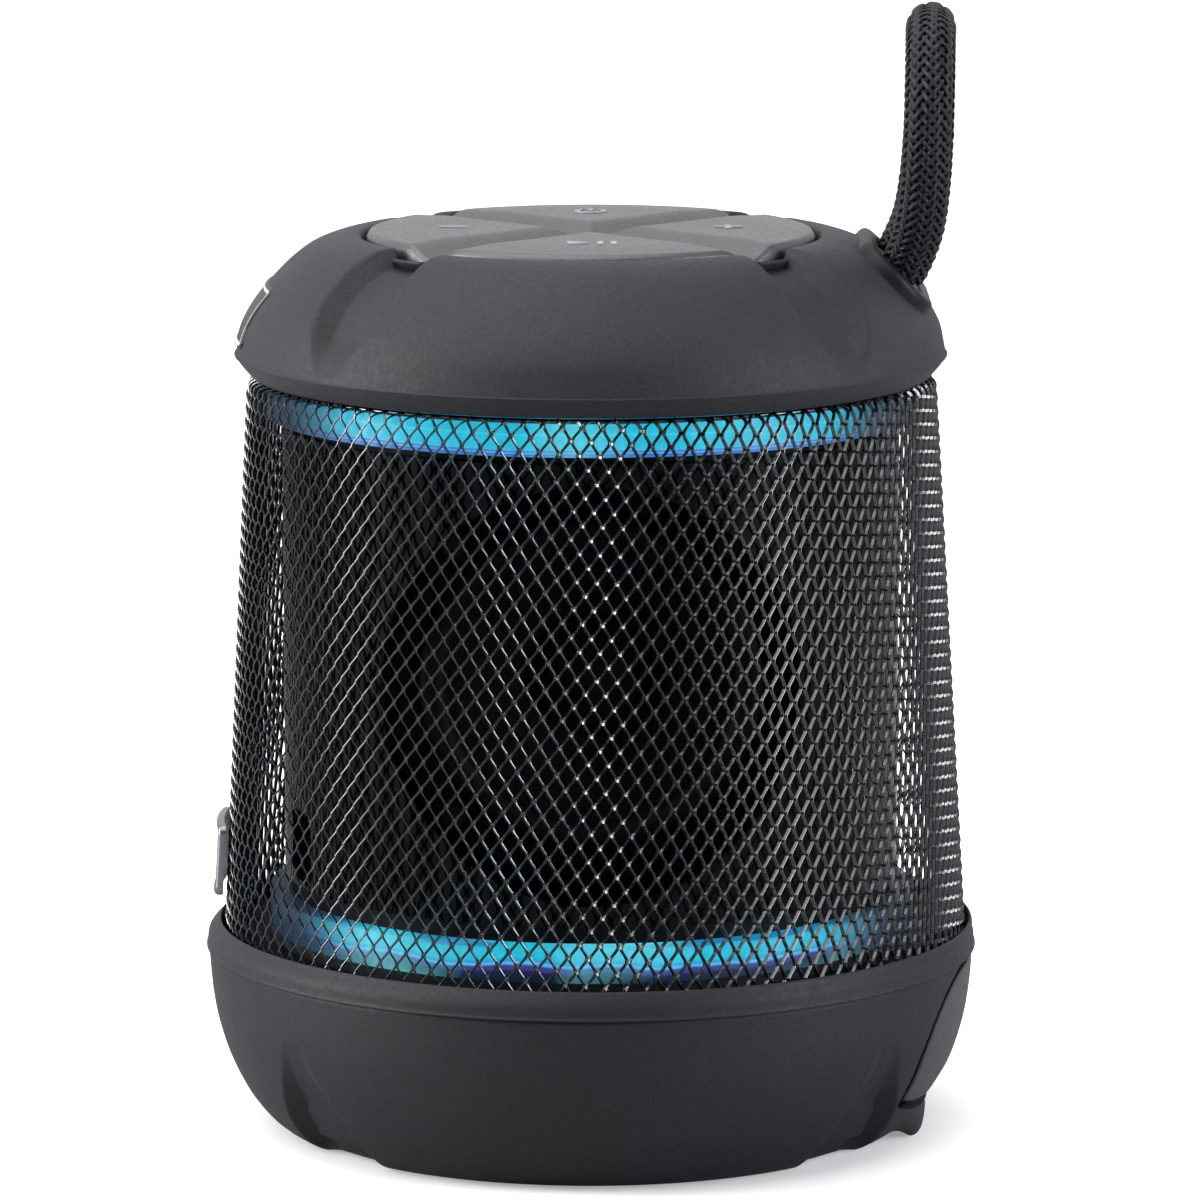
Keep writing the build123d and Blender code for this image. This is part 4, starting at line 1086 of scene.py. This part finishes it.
def crown_z(x, y):
    s2 = math.sqrt(2)
    rr = np.hypot(x, y)
    d = np.minimum(np.abs((x - y) / s2), np.abs((x + y) / s2)) - 0.28
    z = 114.28 + 1.72 * smoothstep(-0.6, 4.4, d) - 0.35 * smoothstep(20.5, 28.5, rr)
    q = np.where(np.abs(x) > np.abs(y), np.abs(x), np.abs(y))
    o = np.where(np.abs(x) > np.abs(y), y, x)
    return z - 0.16 * np.exp(-(((q - 17.0) / 7.5) ** 2 + (o / 8.5) ** 2))


def icon(name, polys, body, h=0.16):
    """Flat raised shapes laid on the key's crown; polys are closed outlines in x, y."""
    V, F = [], []
    for poly in polys:
        p = even(list(poly) + [poly[0]], 0.12)[:-1]
        b0 = len(V)
        n = len(p)
        c = p.mean(axis=0)
        inner = c + (p - c) * (1 - 0.06 / max(0.3, np.linalg.norm(p - c, axis=1).min()))
        for q, dz in ((p, -0.05), (p, h - 0.05), (inner, h)):
            V += [(x, y, crown_z(x, y) + dz) for x, y in q]
        F += [tuple(f) for f in grid_faces(3, n, close_m=True, base=b0)]
        F.append(tuple(range(b0 + 2 * n, b0 + 3 * n)))
        F.append(tuple(range(b0, b0 + n))[::-1])
    ob = mesh_obj(name, np.array(V) * MM, F, smooth=False, mat=ICON)
    recalc(ob)
    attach(ob, body)
    return ob


def bar(cx, cy, w, h, rot=0.0):
    c, s = math.cos(rot), math.sin(rot)
    return [(cx + x * c - y * s, cy + x * s + y * c) for x, y in ((-w / 2, -h / 2), (w / 2, -h / 2), (w / 2, h / 2), (-w / 2, h / 2))]


def arc_band(cx, cy, r0, r1, a0, a1, n=40):
    a = np.radians(np.linspace(a0, a1, n))
    return [(cx + r1 * math.cos(t), cy + r1 * math.sin(t)) for t in a] + [(cx + r0 * math.cos(t), cy + r0 * math.sin(t)) for t in a[::-1]]


icon("icon_play", [[(-2.9, -16.0), (-2.9, -19.4), (-0.1, -17.7)], bar(1.2, -17.7, 0.75, 3.4), bar(2.9, -17.7, 0.75, 3.4)], "key_front")
icon("icon_less", [bar(-17.5, 0, 3.6, 0.8)], "key_left")
icon("icon_more", [[(17.5 + x, y) for x, y in ((-1.8, -0.4), (-0.4, -0.4), (-0.4, -1.8), (0.4, -1.8), (0.4, -0.4), (1.8, -0.4), (1.8, 0.4), (0.4, 0.4), (0.4, 1.8), (-0.4, 1.8), (-0.4, 0.4), (-1.8, 0.4))]], "key_right")
icon("icon_power", [arc_band(0, 17.6, 1.5, 2.1, 125, 415), bar(0, 19.2, 0.6, 2.2)], "key_back")

# microphone port: a small dark eyelet in the front right valley
am = np.linspace(0, 2 * math.pi, 36, endpoint=False)
mp_ = [(0.98, 113.9), (0.98, 114.30), (0.92, 114.36), (0.70, 114.38), (0.62, 114.33), (0.60, 114.1), (0.60, 112.9), (0.02, 112.88), (0.02, 112.6), (0.98, 112.6)]
V = [(5.9 + r_ * math.cos(a_), -5.9 + r_ * math.sin(a_), z_) for r_, z_ in mp_ for a_ in am]
mic = mesh_obj("mic_port", np.array(V) * MM, grid_faces(len(mp_), len(am), close_n=True, close_m=True), mat=GLOSS)
recalc(mic)
sharp_edges(mic, 50)
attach(mic, "housing")

# ------------------------------------------------------------------ cord collar
def obround_pts(hl, hw, n=24):
    """Outline (y, u): straight along y, round ends."""
    a = np.linspace(-math.pi / 2, math.pi / 2, n)
    st = hl - hw
    right = [(st + hw * math.cos(t), hw * math.sin(t)) for t in a]
    left = [(-y, -u) for y, u in right]
    return np.array(right + left)


M0 = np.array([39.3, 0, 111.05])
n45 = np.array([math.cos(math.radians(45)), 0, math.sin(math.radians(45))])
u45 = np.array([-n45[2], 0, n45[0]])
ey = np.array([0, 1, 0])
sect = [(6.0, -4.6), (6.0, -0.95), (5.92, -0.55), (5.68, -0.2), (5.3, -0.02), (4.85, 0.0), (4.3, 0.0), (3.98, -0.06), (3.72, -0.25), (3.6, -0.6), (3.55, -1.2), (3.55, -4.6)]
V = []
npts = None
for hw, d in sect:
    o = obround_pts(7.0 + hw if hw > 4.5 else 7.6 + hw, hw)
    npts = len(o)
    for y, u in o:
        V.append(M0 + ey * y + u45 * u + n45 * d)
collar = mesh_obj("collar_ring", np.array(V) * MM, grid_faces(len(sect), npts, close_n=True, close_m=True), mat=COLLAR)
recalc(collar)
sharp_edges(collar, 60)
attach(collar, "housing"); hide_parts("cord_collar")

# ------------------------------------------------------------------ finish on carried-over CAD nodes
slots = {s["node"]: s["material_slot"] for s in frame["record"]["subparts"]}
for node, ob in frame["nodes"].items():
    m = BY_SLOT.get(slots.get(node), ABS)
    if node == "lower_light_ring":
        m = LIGHT_LOW
    # painted shade: the steel screws deep inside the grille get the near-black screw material
    if node in ("driver_screws", "radiator_screws", "barrel_screws"):
        m = SHADED_SCREW
    ob.data.materials.clear()
    ob.data.materials.append(m)

# ------------------------------------------------------------------ floor and light
fm, nt, bsdf = new_mat("floor_paper")
co = nt.nodes.new("ShaderNodeTexCoord").outputs["Object"]
t = n_tex(nt, "ShaderNodeTexNoise", 30.0, 3.0, 0.5, co)
rp = n_ramp(nt, t.outputs["Fac"], [(0.3, (0.86, 0.86, 0.86)), (0.7, (0.88, 0.88, 0.88))])
# painted shade: the floor shows the camera a pale colour but reflects a darker one onto the object, shading the boot's
# lower part
flp = nt.nodes.new("ShaderNodeLightPath")
nt.links.new(n_mix(nt, flp.outputs["Is Camera Ray"], (0.42, 0.42, 0.42), rp.outputs["Color"]), bsdf.inputs["Base Color"])
bsdf.inputs["Roughness"].default_value = 0.9
bsdf.inputs["Specular IOR Level"].default_value = 0.1
bsdf.inputs["Emission Color"].default_value = (1, 1, 1, 1)
fsp = nt.nodes.new("ShaderNodeSeparateXYZ")
nt.links.new(co, fsp.inputs["Vector"])
# painted shadow: the floor's glow seen by the camera is weaker near the object and rises outward, painting a soft
# shadow round its foot
far = n_math(nt, "SQRT", n_math(nt, "ADD", n_math(nt, "MULTIPLY", fsp.outputs["X"], fsp.outputs["X"]), n_math(nt, "MULTIPLY", fsp.outputs["Y"], fsp.outputs["Y"])))
glow_painted_shadow = n_map(nt, far, 0.042, 0.088, 0.27, 0.75)
nt.links.new(n_math(nt, "ADD", n_math(nt, "MULTIPLY", flp.outputs["Is Camera Ray"], glow_painted_shadow.outputs["Result"]), 0.03), bsdf.inputs["Emission Strength"])
floor = mesh_obj("floor", [(-6, -6, 0), (6, -6, 0), (6, 6, 0), (-6, 6, 0)], [(0, 1, 2, 3)], smooth=False, mat=fm)

world = bpy.data.worlds.new("studio")
scene.world = world
world.use_nodes = True
wn = world.node_tree
wn.nodes.clear()
wo = wn.nodes.new("ShaderNodeOutputWorld")
bg = wn.nodes.new("ShaderNodeBackground")
tc = wn.nodes.new("ShaderNodeTexCoord")
sp_ = wn.nodes.new("ShaderNodeSeparateXYZ")
wn.links.new(tc.outputs["Generated"], sp_.inputs["Vector"])
# white sweep behind and at the sides, the dark room in front, a paler ceiling
side = n_map(wn, sp_.outputs["Y"], -0.15, 0.60, 0.006, 0.90)
side.interpolation_type = "SMOOTHSTEP"
lid = n_map(wn, sp_.outputs["Z"], 0.45, 0.95, 0.0, 0.10)
sky = n_math(wn, "ADD", side.outputs["Result"], lid.outputs["Result"])
lp = wn.nodes.new("ShaderNodeLightPath")
seen = n_math(wn, "MAXIMUM", lp.outputs["Is Camera Ray"], sky)
bg.inputs["Color"].default_value = (1, 1, 1, 1)
wn.links.new(seen, bg.inputs["Strength"])
wn.links.new(bg.outputs["Background"], wo.inputs["Surface"])


def area(name, loc, target, size, power, size_y=None, color=(1, 1, 1)):
    l = bpy.data.lights.new(name, "AREA")
    l.energy = power
    l.size = size
    if size_y:
        l.shape = "RECTANGLE"
        l.size_y = size_y
    l.color = color
    o = bpy.data.objects.new(name, l)
    scene.collection.objects.link(o)
    o.location = loc
    d = Vector(target) - Vector(loc)
    o.rotation_euler = d.to_track_quat("-Z", "Y").to_euler()
    return o


area("key_top", (-0.22, -0.16, 0.95), (0, 0, 0.06), 1.1, 10.5)
area("side_left", (-0.80, -0.14, 0.22), (0, 0, 0.07), 0.22, 11.0, 0.8)
area("side_right", (0.76, -0.34, 0.22), (0, 0, 0.07), 0.22, 8.0, 0.8, color=(0.90, 0.95, 1.0))
